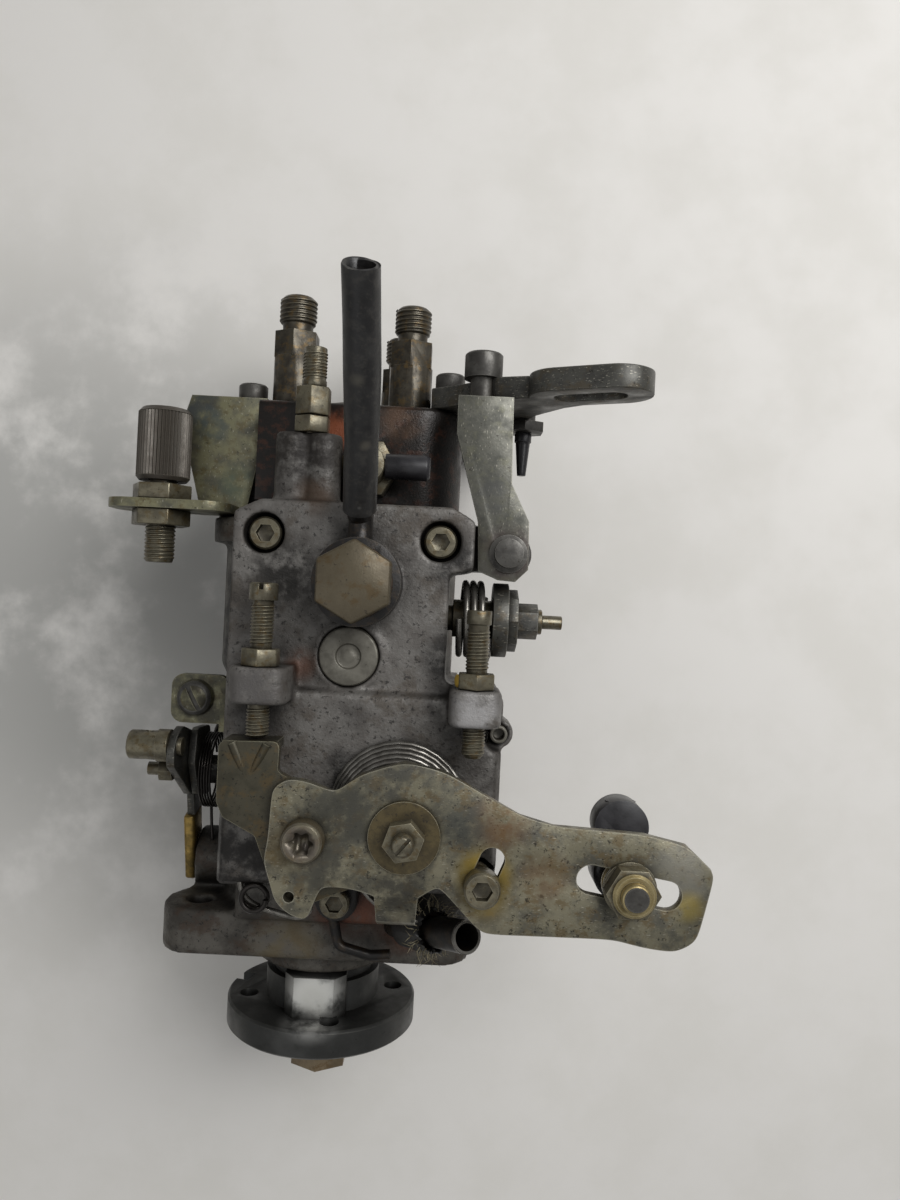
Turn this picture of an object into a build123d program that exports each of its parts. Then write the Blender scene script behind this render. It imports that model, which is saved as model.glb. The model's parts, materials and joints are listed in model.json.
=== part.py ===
"""Diesel injection pump of the distributor type, for four cylinders.

Frame: the origin is where the drive shaft's axis meets the front face of the mounting flange.
+Y runs back to the distributor head, +X to the right and +Z up to the governor cover.
Every size is in millimetres.
"""

from build123d import *
from math import atan2, cos, degrees, pi, radians, sin, sqrt, tan
import os

os.makedirs("parts", exist_ok=True)

# Fits and clearances
RUNNING = 0.05  # radial clearance of a shaft in its bore
SEAT = 0.02  # radial clearance of a screw or plug in its own hole
GAP = 0.3  # between pieces that move past each other

# Mounting flange, pilot and the ground the pump stands on
BOLT_CIRCLE_R = 47.0
EAR_R = 12.0
EAR_HOLE_R = 4.25
NUT_POCKET_R = 7.5
NUT_POCKET_L = 18.0
FLANGE_T = 15.0
PILOT_R = 25.0
PILOT_L = 9.0
GROUND_Z = -(BOLT_CIRCLE_R + EAR_R)

# Level face of the cable bracket, and where it begins
FACE_Z = 24.5
FACE_FRONT = 147.3
FACE_RIGHT = -25.0
SHEET = 3.0

# Housing
FRONT_BODY_R = 37.0
REAR_BODY_R = 42.0
FRONT_BODY_END = 92.0
HOUSING_END = 152.0
MAIN_BORE_R = 33.0
SPLIT_Z = 40.0
COVER_LEFT = -25.5
COVER_RIGHT_FRONT = 58.0
COVER_RIGHT_REAR = 40.0
COVER_FRONT = 34.0
COVER_STEP_Y = 94.0
COVER_REAR = 150.0
COVER_WALL = 4.0

# Governor cover
REAR_TOP_Z = 66.0
FRONT_TOP_Z = 69.0
COVER_SCREW_HEAD_R = 5.0
COVER_SCREW_HEAD_L = 6.0
COVER_SCREW_R = 3.0

# Drive line
SHAFT_R = 10.0
DISC_R = 34.2
DISC_T = 9.5
DISC_BACK = -24.5
DISC_HOLE_PCR = 26.5
DISC_HOLE_R = 3.4
NECK_R = 20.5
PUMP_FRONT = 18.0
PUMP_T = 14.0
PUMP_R = 29.95
PLATE_T = 3.7
GEAR_MODULE = 1.25
DRIVE_TEETH = 42
GOVERNOR_TEETH = 26
GEAR_Y = 38.0
GEAR_W = 8.0
GOVERNOR_X = 24.0
ROLLER_RING_Y = 71.5
ROLLER_R = 6.0
CREST_Y = 88.0
CAM_R = 30.0
CAM_LIFT = 2.2
PLUNGER_R = 6.0

# Governor
CAGE_R = 20.0
CAGE_Y = 47.0
CAGE_L = 23.0
GOVERNOR_SHAFT_R = 3.5
SPOOL_Y = 105.5
SPOOL_L = 8.0
LEVER_PIVOT = (0.0, SPOOL_Y + SPOOL_L / 2, 26.0)

PIVOT_R = 3.0

# Distributor head and outlets
HEAD_HALF = 42.0
HEAD_END = 185.0
VALVE_CIRCLE_R = 28.3
VALVE_ANGLES = (36.4, 126.4, 216.4, 306.4)
VALVE_THREAD_R = 6.0
VALVE_STEM_R = 7.5
VALVE_END = 224.0
VALVE_SHANK_R = 6.9
VALVE_BORE_R = 4.0
SOLENOID_X = 12.0

# Timing device
TIMING_Y = 75.5
TIMING_Z = -44.5
TIMING_R = 9.0
TIMING_HALF_X = 40.0
TIMING_WIDTH = 35.0
TIMING_COVER_T = 5.0
TIMING_PLUG_L = 1.5
TIMING_STROKE_ROOM = 14.0
TIMING_SPRING_X = 15.5
TIMING_SPRING_TURNS = 5
TIMING_SPRING_ROOM = 1.25
PIN_R = 3.0
PIN_SHANK_R = 2.2

# Throttle, stop and cold-start controls
THROTTLE_X = 31.0
THROTTLE_Y = 56.5
THROTTLE_R = 6.0
STOP_PLATE_Z = 81.5
STOP_PLATE_T = 3.0
LEVER_Z = STOP_PLATE_Z + STOP_PLATE_T
LEVER_T = 3.0
STUD_XY = (93.5, 45.5)
STOP_SHAFT_Y = 116.5
STOP_SHAFT_Z = 46.0
COLD_Y = 57.5
COLD_Z = 12.0
COLD_R = 5.0
COLD_FACE_X = -(FRONT_BODY_R + 1.5)  # outer end of the shaft boss
CABLE_X = -56.5
CABLE_Z = 37.0
CABLE_PIN_Y = 69.5
SCREW_Z = 79.0
IDLE_X = -12.6
MAX_X = 49.0

governor_z = sqrt((GEAR_MODULE * (DRIVE_TEETH + GOVERNOR_TEETH) / 2) ** 2 - GOVERNOR_X**2)
mesh_angle = degrees(atan2(governor_z, GOVERNOR_X))


def across_y(y):
    """Plane square to Y at y: its sketch reads x and z, and a negative amount extrudes to +Y."""
    return Plane.XZ.offset(-y)


def turned(origin, direction, stations, mode=Mode.ADD):
    """Revolve (distance, radius) stations about the axis from origin along direction."""
    along = Vector(*direction).normalized()
    radial = Vector(1, 0, 0) if abs(along.X) < 0.5 else Vector(0, 1, 0)
    radial = (radial - along * radial.dot(along)).normalized()
    with BuildSketch(Plane(origin=origin, x_dir=radial, z_dir=radial.cross(along))) as half:
        with BuildLine():
            Polyline(
                (0, stations[0][0]),
                *[(radius, distance) for distance, radius in stations],
                (0, stations[-1][0]),
                close=True,
            )
        make_face()
    revolve(half.sketch, axis=Axis(origin, direction), mode=mode)


def rod(origin, direction, radius, length, mode=Mode.ADD):
    """Round bar from origin along direction."""
    turned(origin, direction, [(0, radius), (length, radius)], mode)


def hex_bar(origin, direction, across_flats, length, x_dir=None, mode=Mode.ADD):
    """Hexagonal bar from origin along direction, with a corner towards x_dir."""
    with BuildSketch(Plane(origin=origin, x_dir=x_dir, z_dir=direction)) as hexagon:
        RegularPolygon(across_flats / 2, 6, major_radius=False)
    extrude(hexagon.sketch, amount=length, mode=mode)


def cap_screw(origin, direction, head_r, head_l, shank_r, shank_l, key):
    """Socket screw with its seat at origin and its head along direction."""
    turned(
        origin,
        direction,
        [(-shank_l, shank_r), (0, shank_r), (0, head_r), (head_l - 0.6, head_r), (head_l, head_r - 0.6)],
    )
    top = Vector(*origin) + Vector(*direction) * head_l
    hex_bar(top, tuple(Vector(*direction) * -1), key, head_l * 0.5, mode=Mode.SUBTRACT)


def coil(center, direction, radius, wire_r, pitch, turns):
    """Helical spring of round wire from center along direction."""
    with BuildLine() as path:
        Helix(pitch=pitch, height=pitch * turns, radius=radius, center=center, direction=direction)
    with BuildSketch(Plane(origin=path.line @ 0, z_dir=path.line % 0)) as section:
        Circle(wire_r)
    sweep(section.sketch, path=path.line, is_frenet=True)


def gear(center, teeth, width, bore_r, first_angle):
    """Spur gear about Y from center to +Y, with straight thinned flanks for backlash."""
    pitch_r = GEAR_MODULE * teeth / 2
    tip_r = pitch_r + GEAR_MODULE
    root_r = pitch_r - 1.25 * GEAR_MODULE
    half_pitch = 0.2 * pi * GEAR_MODULE
    slope = tan(radians(15))
    half_tip = half_pitch - GEAR_MODULE * slope
    half_root = half_pitch + (pitch_r - root_r) * slope
    inner = root_r - 0.5
    with BuildSketch(Plane(origin=center, x_dir=(1, 0, 0), z_dir=(0, -1, 0))) as outline:
        Circle(root_r)
        with PolarLocations(0, teeth, start_angle=first_angle):
            Polygon(
                (inner, -half_root), (root_r, -half_root), (tip_r, -half_tip),
                (tip_r, half_tip), (root_r, half_root), (inner, half_root),
                align=None,
            )
        Circle(bore_r, mode=Mode.SUBTRACT)
    extrude(outline.sketch, amount=-width)


def finish(piece, label):
    """Label a finished piece and write its STEP file."""
    piece.part.label = label
    export_step(piece.part, f"parts/{label}.step")


def on_circle(radius, angle):
    """x and z of a point on a circle about the drive axis."""
    return radius * cos(radians(angle)), radius * sin(radians(angle))


ears = [on_circle(BOLT_CIRCLE_R, angle) for angle in (30, 150, 270)]
valves = [on_circle(VALVE_CIRCLE_R, angle) for angle in VALVE_ANGLES]

# ---------------------------------------------------------------- housing and covers
cover_screws_rear = [(-16.2, 139.7), (36.8, 139.5)]
cover_screws_front = [(8.6, 24.5), (51.5, 40.5)]
FRONT_SEAT_Z = 47.5
head_screw_seats = [(37.0, 30.0, 7.0), (36.0, -31.0, 7.0), (-32.0, 19.0, 3.0), (-32.0, -31.0, 0.0)]
HEAD_SCREW_R = 3.0
HEAD_SCREW_DEPTH = 9.0
timing_screws = [
    (side, TIMING_Y + dy, TIMING_Z + dz) for side in (-1, 1) for dy in (-11, 11) for dz in (-9.5, 9.5)
]

with BuildPart() as pump_housing:
    with BuildSketch(across_y(0)) as flange:
        with BuildLine():
            Polyline(*ears, close=True)
        make_face()
        offset(amount=EAR_R, kind=Kind.ARC)
        with Locations(*ears):
            Circle(EAR_HOLE_R, mode=Mode.SUBTRACT)
    extrude(amount=-FLANGE_T)
    turned((0, -PILOT_L, 0), (0, 1, 0), [(0, PILOT_R - 1), (1, PILOT_R), (PILOT_L + 1, PILOT_R)])
    rod((0, FLANGE_T - 1, 0), (0, 1, 0), FRONT_BODY_R, FRONT_BODY_END - FLANGE_T + 1)
    turned(
        (0, 0, 0),
        (0, 1, 0),
        [(FRONT_BODY_END - 6, FRONT_BODY_R), (FRONT_BODY_END + 4, REAR_BODY_R), (HOUSING_END, REAR_BODY_R)],
    )
    # upper box that carries the governor cover, narrower behind the step
    with BuildSketch(Plane.XY.offset(0)):
        with BuildLine():
            Polyline(
                (COVER_LEFT, FLANGE_T - 1), (COVER_LEFT, COVER_REAR), (COVER_RIGHT_REAR, COVER_REAR),
                (COVER_RIGHT_REAR, COVER_STEP_Y), (COVER_RIGHT_FRONT, COVER_STEP_Y),
                (COVER_RIGHT_FRONT, COVER_FRONT), (COVER_RIGHT_FRONT - 14, FLANGE_T - 1),
                close=True,
            )
        make_face()
    extrude(amount=SPLIT_Z)
    # head joint face
    with BuildSketch(across_y(HOUSING_END - 14)):
        RectangleRounded(2 * HEAD_HALF - 2, 2 * SPLIT_Z, 14)
    extrude(amount=-14)
    # timing cylinder across the bottom
    with BuildSketch(Plane.YZ.offset(-TIMING_HALF_X)):
        with Locations((TIMING_Y, (GROUND_Z - 20) / 2)):
            RectangleRounded(TIMING_WIDTH, -20 - GROUND_Z, 5)
    extrude(amount=2 * TIMING_HALF_X)
    # pressure valve boss on the left and the cold-start shaft boss
    rod((-46, 24, 4), (1, 0, 0), 11, 16)
    rod((COLD_FACE_X, COLD_Y, COLD_Z), (1, 0, 0), 9, 8)
    with BuildSketch(Plane.XY.offset(20)):
        with Locations((COVER_LEFT - 2.5, 83)):
            Rectangle(5.2, 14)
    extrude(amount=16)
    with BuildSketch(Plane.XY.offset(SPLIT_Z)) as split:
        with Locations((0, 80)):
            Rectangle(160, 160)
    extrude(split.sketch, amount=10, mode=Mode.SUBTRACT)
    # bores
    for x, z in ears:
        rod((x, 0, z), (0, 1, 0), EAR_HOLE_R, FLANGE_T + 1, Mode.SUBTRACT)
    rod((ears[0][0], FLANGE_T, ears[0][1]), (0, 1, 0), NUT_POCKET_R, NUT_POCKET_L, Mode.SUBTRACT)
    rod((0, -PILOT_L, 0), (0, 1, 0), 15.5, 7, Mode.SUBTRACT)
    rod((0, -3, 0), (0, 1, 0), SHAFT_R + RUNNING, 30, Mode.SUBTRACT)
    rod((0, PUMP_FRONT, 0), (0, 1, 0), PUMP_R + SEAT, PUMP_T + PLATE_T + 1, Mode.SUBTRACT)
    rod((0, PUMP_FRONT + PUMP_T + PLATE_T, 0), (0, 1, 0), MAIN_BORE_R, HOUSING_END, Mode.SUBTRACT)
    with BuildSketch(Plane.XY):
        with BuildLine():
            Polyline(
                (COVER_LEFT + COVER_WALL, 38), (COVER_LEFT + COVER_WALL, COVER_REAR - COVER_WALL),
                (COVER_RIGHT_REAR - COVER_WALL, COVER_REAR - COVER_WALL),
                (COVER_RIGHT_REAR - COVER_WALL, COVER_STEP_Y - COVER_WALL),
                (COVER_RIGHT_FRONT - COVER_WALL, COVER_STEP_Y - COVER_WALL),
                (COVER_RIGHT_FRONT - COVER_WALL, 53), (43.5, 38),
                close=True,
            )
        make_face()
    extrude(amount=SPLIT_Z + 1, mode=Mode.SUBTRACT)
    rod((-TIMING_HALF_X - 1, TIMING_Y, TIMING_Z), (1, 0, 0), TIMING_R, 2 * TIMING_HALF_X + 2, Mode.SUBTRACT)
    with BuildSketch(Plane.XY.offset(TIMING_Z + 5)):
        with Locations((0, TIMING_Y)):
            SlotOverall(30, 9)
    extrude(amount=20, mode=Mode.SUBTRACT)
    rod((COLD_FACE_X - 9.5, COLD_Y, COLD_Z), (1, 0, 0), COLD_R + RUNNING, 20, Mode.SUBTRACT)
    rod((GOVERNOR_X, FLANGE_T + 5, governor_z), (0, 1, 0), GOVERNOR_SHAFT_R + SEAT, 20, Mode.SUBTRACT)
    rod(
        (COVER_LEFT + 2, LEVER_PIVOT[1], LEVER_PIVOT[2]),
        (1, 0, 0),
        PIVOT_R + RUNNING,
        COVER_RIGHT_REAR - COVER_LEFT - 4,
        Mode.SUBTRACT,
    )
    for x, y in cover_screws_rear + cover_screws_front:
        rod((x, y, SPLIT_Z - 10), (0, 0, 1), COVER_SCREW_R + SEAT, 12, Mode.SUBTRACT)
    for x, z, _ in head_screw_seats:
        rod((x, HOUSING_END - HEAD_SCREW_DEPTH, z), (0, 1, 0), HEAD_SCREW_R + SEAT, 14, Mode.SUBTRACT)
    for side, y, z in timing_screws:
        rod((side * (TIMING_HALF_X + 1), y, z), (-side, 0, 0), 2.5 + SEAT, 10, Mode.SUBTRACT)
    hex_bar((-46, 24, 4), (1, 0, 0), 8, 5, mode=Mode.SUBTRACT)
    with BuildSketch(across_y(FACE_FRONT - 1)) as bracket_room:
        with Locations((COVER_LEFT - 15, FACE_Z + 9.9)):
            Rectangle(30, 20)
    extrude(bracket_room.sketch, amount=-10, mode=Mode.SUBTRACT)

with BuildPart() as governor_cover:
    with BuildSketch(Plane.XY.offset(SPLIT_Z)) as cover_outline:
        with BuildLine():
            Polyline(
                (COVER_LEFT, COVER_FRONT), (COVER_LEFT, COVER_REAR - 4), (COVER_LEFT + 8, COVER_REAR),
                (COVER_RIGHT_REAR, COVER_REAR), (COVER_RIGHT_REAR + 7, COVER_REAR - 4),
                (COVER_RIGHT_REAR + 7, 131), (COVER_RIGHT_REAR, 130),
                (COVER_RIGHT_REAR, COVER_STEP_Y + 4), (COVER_RIGHT_REAR + 4, COVER_STEP_Y),
                (COVER_RIGHT_FRONT, COVER_STEP_Y), (COVER_RIGHT_FRONT, COVER_FRONT + 4),
                (COVER_RIGHT_FRONT - 4, COVER_FRONT),
                close=True,
            )
        make_face()
    extrude(amount=REAR_TOP_Z - SPLIT_Z)
    fillet(governor_cover.edges().filter_by(Axis.Z), 1.8)
    with BuildSketch(Plane.XY.offset(REAR_TOP_Z - 1)):
        with BuildLine():
            Polyline(
                (COVER_LEFT + 1, COVER_FRONT + 1), (COVER_LEFT + 1, COVER_STEP_Y),
                (COVER_RIGHT_FRONT - 1, COVER_STEP_Y - 1), (COVER_RIGHT_FRONT - 1, COVER_FRONT + 4),
                close=True,
            )
        make_face()
    extrude(amount=FRONT_TOP_Z - REAR_TOP_Z + 1)
    chamfer(governor_cover.edges().group_by(Axis.Z)[-1], 1.2)
    # front screw lug, stay screw lug and dowel lug
    rod((cover_screws_front[0][0], cover_screws_front[0][1], SPLIT_Z), (0, 0, 1), 7, FRONT_SEAT_Z - SPLIT_Z)
    with BuildSketch(Plane.XY.offset(SPLIT_Z)):
        with Locations((cover_screws_front[0][0], 31)):
            Rectangle(14, 13)
    extrude(amount=FRONT_SEAT_Z - SPLIT_Z)
    with BuildSketch(Plane.XY.offset(SPLIT_Z)):
        with Locations((57.5, 137.1)):
            Circle(7.5)
        with Locations((50, 138.5)):
            Rectangle(14, 14)
    extrude(amount=17)
    rod((57.0, 82.4, 52), (0, 0, 1), 4.6, 14)
    # lugs of the two stop screws
    for x, y, wide in ((IDLE_X, 95.5, 16.4), (MAX_X, 91.8, 15.0)):
        with BuildSketch(across_y(y - 5.3)):
            with Locations((x, SCREW_Z - 8)):
                Rectangle(wide, 14)
            with Locations((x, SCREW_Z - 1)):
                RectangleRounded(wide, 14, 4)
        extrude(amount=-10.6)
        rod((x, y - 8, SCREW_Z), (0, 1, 0), 3 + SEAT, 16, Mode.SUBTRACT)
    # full-load screw boss of two lobes on the rear wall
    for x in (-9.5, -1.0):
        rod((x, COVER_REAR - 4, 57), (0, 1, 0), 6, 25)
    rod((-4.5, COVER_REAR + 4, 58), (0, 1, 0), 3 + SEAT, 20, Mode.SUBTRACT)
    # plug boss, banjo seat and throttle shaft boss
    rod((11.0, 104.0, REAR_TOP_Z - 1), (0, 0, 1), 10.6, 1.8)
    rod((13.5, 126.0, REAR_TOP_Z - 1), (0, 0, 1), 11.5, 1.8)
    rod((THROTTLE_X, THROTTLE_Y, FRONT_TOP_Z - 1), (0, 0, 1), 11, 1.5)
    # hollow inside, in two depths
    with BuildSketch(Plane.XY.offset(SPLIT_Z)):
        with BuildLine():
            Polyline(
                (COVER_LEFT + COVER_WALL, COVER_FRONT + COVER_WALL),
                (COVER_LEFT + COVER_WALL, COVER_REAR - COVER_WALL - 3),
                (COVER_RIGHT_REAR - COVER_WALL, COVER_REAR - COVER_WALL - 3),
                (COVER_RIGHT_REAR - COVER_WALL, COVER_STEP_Y - COVER_WALL),
                (COVER_RIGHT_FRONT - COVER_WALL, COVER_STEP_Y - COVER_WALL),
                (COVER_RIGHT_FRONT - COVER_WALL, 53), (43.5, COVER_FRONT + COVER_WALL),
                close=True,
            )
        make_face()
        for x, y in cover_screws_rear:
            with Locations((x, y)):
                Circle(8.5, mode=Mode.SUBTRACT)
    extrude(amount=REAR_TOP_Z - SPLIT_Z - COVER_WALL, mode=Mode.SUBTRACT)
    for x, y in cover_screws_rear:
        rod((x, y, SPLIT_Z - 1), (0, 0, 1), COVER_SCREW_R + SEAT, 30, Mode.SUBTRACT)
        rod((x, y, REAR_TOP_Z - 8), (0, 0, 1), 6.2, 10, Mode.SUBTRACT)
    x, y = cover_screws_front[0]
    rod((x, y, SPLIT_Z - 1), (0, 0, 1), COVER_SCREW_R + SEAT, 10, Mode.SUBTRACT)
    x, y = cover_screws_front[1]
    rod((x, y, SPLIT_Z - 1), (0, 0, 1), COVER_SCREW_R + SEAT, 30, Mode.SUBTRACT)
    rod((x, y, FRONT_TOP_Z - 6), (0, 0, 1), 6.2, 10, Mode.SUBTRACT)
    rod((THROTTLE_X, THROTTLE_Y, 50), (0, 0, 1), THROTTLE_R + RUNNING, 25, Mode.SUBTRACT)
    rod((COVER_RIGHT_REAR - 8, STOP_SHAFT_Y, STOP_SHAFT_Z), (1, 0, 0), 4 + RUNNING, 12, Mode.SUBTRACT)
    rod((11.0, 104.0, REAR_TOP_Z - 2.2), (0, 0, 1), 8.9 + SEAT, 5, Mode.SUBTRACT)
    rod((13.5, 126.0, 55), (0, 0, 1), 6 + SEAT, 20, Mode.SUBTRACT)
    rod((57.5, 137.1, 48), (0, 0, 1), 3 + SEAT, 12, Mode.SUBTRACT)
    rod((57.0, 82.4, 62), (0, 0, 1), 4.7, 12, Mode.SUBTRACT)
    rod((57.0, 82.4, 54), (0, 0, 1), 2.7 + SEAT, 10, Mode.SUBTRACT)

with BuildPart() as cover_screws:
    for x, y in cover_screws_rear:
        cap_screw(
            (x, y, REAR_TOP_Z - 8), (0, 0, 1), COVER_SCREW_HEAD_R, COVER_SCREW_HEAD_L, COVER_SCREW_R, 26, 5
        )
    x, y = cover_screws_front[0]
    cap_screw((x, y, FRONT_SEAT_Z), (0, 0, 1), 4.7, 4, COVER_SCREW_R, 16, 5)
    x, y = cover_screws_front[1]
    cap_screw((x, y, FRONT_TOP_Z - 6), (0, 0, 1), COVER_SCREW_HEAD_R, COVER_SCREW_HEAD_L, COVER_SCREW_R, 30, 5)

with BuildPart() as distributor_head:
    with BuildSketch(across_y(HOUSING_END)):
        RectangleRounded(2 * HEAD_HALF, 2 * HEAD_HALF - 2, 15)
    extrude(amount=-(HEAD_END - HOUSING_END))
    fillet(distributor_head.edges().group_by(Axis.Y)[-1], 2)
    turned((0, 118, 0), (0, 1, 0), [(0, 15), (1, 16), (HOUSING_END - 117, 16)])
    turned((0, 148.3, 0), (0, 1, 0), [(0, MAIN_BORE_R - 1), (1, MAIN_BORE_R - SEAT), (5, MAIN_BORE_R - SEAT)])
    rod((0, 110, 0), (0, 1, 0), PLUNGER_R + 0.03, 67, Mode.SUBTRACT)
    rod((0, 178, 0), (0, 1, 0), 8 + SEAT, 10, Mode.SUBTRACT)
    for x, z in valves:
        rod((x, HEAD_END - 14, z), (0, 1, 0), VALVE_SHANK_R + SEAT, 16, Mode.SUBTRACT)
    for x, z, _ in head_screw_seats:
        rod((x, HOUSING_END - 5, z), (0, 1, 0), HEAD_SCREW_R + SEAT, 44, Mode.SUBTRACT)
    rod((SOLENOID_X, 163, HEAD_HALF - 12), (0, 0, 1), 6 + SEAT, 15, Mode.SUBTRACT)
    with BuildSketch(across_y(HOUSING_END - 1)) as bracket_step:
        with Locations((FACE_RIGHT - 15, FACE_Z + 9.9)):
            Rectangle(30, 20)
    extrude(bracket_step.sketch, amount=-40, mode=Mode.SUBTRACT)

with BuildPart() as housing_screws:
    for x, z, seat in head_screw_seats:
        cap_screw(
            (x, HEAD_END + seat, z), (0, 1, 0), 5, 6, HEAD_SCREW_R, HEAD_END + seat - HOUSING_END + 8, 5
        )
    for side, y, z in timing_screws:
        cap_screw((side * (TIMING_HALF_X + TIMING_COVER_T), y, z), (side, 0, 0), 3.8, 3.6, 2.5, 12, 4)

with BuildPart() as housing_plugs:
    rod((0, 178.5, 0), (0, 1, 0), 8, HEAD_END - 178.5)
    hex_bar((0, HEAD_END, 0), (0, 1, 0), 17, 7)
    turned((57.0, 82.4, 55), (0, 0, 1), [(0, 2.7), (9, 2.7), (9, 1.7), (5, 1.7)])
    turned(
        (11.0, 104.0, REAR_TOP_Z - 2.2),
        (0, 0, 1),
        [(0, 8.9), (3.6, 8.9), (4.0, 8.5), (4.0, 3.8), (3.2, 3.6), (3.2, 2.4), (3.6, 1.2)],
    )

with BuildPart() as delivery_valve_holders:
    for x, z in valves:
        turned(
            (x, 0, z),
            (0, 1, 0),
            [
                (HEAD_END - 13, VALVE_SHANK_R), (HEAD_END, VALVE_SHANK_R), (HEAD_END, VALVE_STEM_R),
                (203, VALVE_STEM_R), (203, 6.5), (211, 6.5), (211, 5.2), (214.5, 5.2),
                (215, VALVE_THREAD_R), (VALVE_END - 1, VALVE_THREAD_R), (VALVE_END, VALVE_THREAD_R - 1),
            ],
        )
        hex_bar((x, 202.5, z), (0, 1, 0), 14, 9)
        rod((x, HEAD_END - 14, z), (0, 1, 0), VALVE_BORE_R, 26, Mode.SUBTRACT)
        turned((x, VALVE_END - 6, z), (0, 1, 0), [(-28, 1.2), (0, 1.2), (6.5, 4.4)], Mode.SUBTRACT)

with BuildPart() as delivery_valves:
    for x, z in valves:
        turned(
            (x, HEAD_END - 13, z),
            (0, 1, 0),
            [(0, 3.6), (4, 3.6), (4, 2.0), (8, 2.0), (9, 3.4), (12, 3.4), (14, 1.6), (20, 1.6)],
        )

# ---------------------------------------------------------------- cover fittings
with BuildPart() as full_load_screw:
    turned((-4.5, 158, 58), (0, 1, 0), [(0, 3), (27.5, 3), (27.5, 3.8), (29.5, 3.8), (29.5, 3.5), (39.5, 3.5)])

with BuildPart() as locknuts:
    for origin, flats, length, bore in (
        ((-4.5, 171.2, 58), 10, 5, 3), ((-4.5, 176.6, 58), 10, 8.6, 3),
        ((IDLE_X, 100.9, SCREW_Z), 10, 5, 3), ((MAX_X, 97.2, SCREW_Z), 10, 4.5, 3),
    ):
        hex_bar(origin, (0, 1, 0), flats, length, x_dir=(0, 0, 1))
        rod((origin[0], origin[1] - 1, origin[2]), (0, 1, 0), bore + SEAT, length + 1.2, Mode.SUBTRACT)
    for y in (150.4, 142.1):
        hex_bar((CABLE_X, y, CABLE_Z), (0, 1, 0), 17, 5.1, x_dir=(1, 0, 0))
        rod((CABLE_X, y - 1, CABLE_Z), (0, 1, 0), 5 + SEAT, 8, Mode.SUBTRACT)

with BuildPart() as idle_screw:
    turned((IDLE_X, 80.6, SCREW_Z), (0, 1, 0), [(0, 2.2), (1, 3), (39, 3), (39, 4.1), (43.5, 4.1), (44, 3.6)])
    with BuildSketch(across_y(122.6)) as slot:
        with Locations((IDLE_X, SCREW_Z)):
            Rectangle(1.2, 12)
    extrude(slot.sketch, amount=-3, mode=Mode.SUBTRACT)

with BuildPart() as max_speed_screw:
    turned((MAX_X, 77.6, SCREW_Z), (0, 1, 0), [(0, 2.2), (1, 3), (38, 3), (38, 3.6), (42, 3.6)])

BANJO = (13.5, 126.0)
EYE_Z = REAR_TOP_Z + 2.0
EYE_T = 12.0
with BuildPart() as banjo_washers:
    for z in (REAR_TOP_Z + 0.8, EYE_Z + EYE_T):
        turned((BANJO[0], BANJO[1], z), (0, 0, 1), [(0, 10.5), (1.2, 10.5)])
        rod((BANJO[0], BANJO[1], z - 1), (0, 0, 1), 6 + SEAT, 4, Mode.SUBTRACT)

with BuildPart() as banjo_bolt:
    turned(
        (BANJO[0], BANJO[1], REAR_TOP_Z - 8),
        (0, 0, 1),
        [(0, 6), (EYE_Z + EYE_T + 1.2 - REAR_TOP_Z + 8, 6)],
    )
    hex_bar((BANJO[0], BANJO[1], EYE_Z + EYE_T + 1.2), (0, 0, 1), 20.6, 8, x_dir=(0, 1, 0))

PIPE_Z = EYE_Z + EYE_T / 2
HOSE_START = (13.2, 147.0, 76.5)
HOSE_END = (15.0, 202.0, 118.0)
HOSE_R = 4.85
HOSE_BORE = 3.4
HOSE_GRIP = 17.0  # length of hose stretched over the pipe
hose_run = Vector(*HOSE_END) - Vector(*HOSE_START)
hose_dir = hose_run.normalized()
with BuildPart() as banjo_pipe:
    rod((BANJO[0], BANJO[1], EYE_Z), (0, 0, 1), 12.8, EYE_T)
    rod((BANJO[0], BANJO[1], PIPE_Z), (0, 1, 0), 3.6, 20.5)
    stub = Vector(*HOSE_START) - hose_dir * 1.8
    with Locations(stub):
        Sphere(3.6)
    rod(tuple(stub), tuple(hose_dir), 3.6, 18)
    rod((BANJO[0], BANJO[1], EYE_Z - 1), (0, 0, 1), 6 + SEAT, EYE_T + 2, Mode.SUBTRACT)
    rod(tuple(stub + hose_dir * 1), tuple(hose_dir), 2.4, 20, Mode.SUBTRACT)

with BuildPart() as return_hose:
    rod(HOSE_START, tuple(hose_dir), HOSE_R, hose_run.length)
    rod(HOSE_START, tuple(hose_dir), 3.6 + SEAT, HOSE_GRIP, Mode.SUBTRACT)
    rod(HOSE_START, tuple(hose_dir), HOSE_BORE, hose_run.length + 1, Mode.SUBTRACT)

with BuildPart() as stop_solenoid:
    rod((SOLENOID_X, 163, HEAD_HALF - 11), (0, 0, 1), 6, 11)
    hex_bar((SOLENOID_X, 163, HEAD_HALF - 1), (0, 0, 1), 17, 8)
    rod((SOLENOID_X, 163, HEAD_HALF + 6), (0, 0, 1), 6.2, 11)

with BuildPart() as terminal_boots:
    turned((SOLENOID_X + 6.2, 163, 53), (1, 0, 0), [(0, 4), (13, 4), (14, 3.2)])
    rod((63, 178.0, 22), (0, 1, 0), 2.9, 3.2)
    turned((63, 166.5, 22), (0, 1, 0), [(0, 1.5), (11.5, 2.5)])

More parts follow.
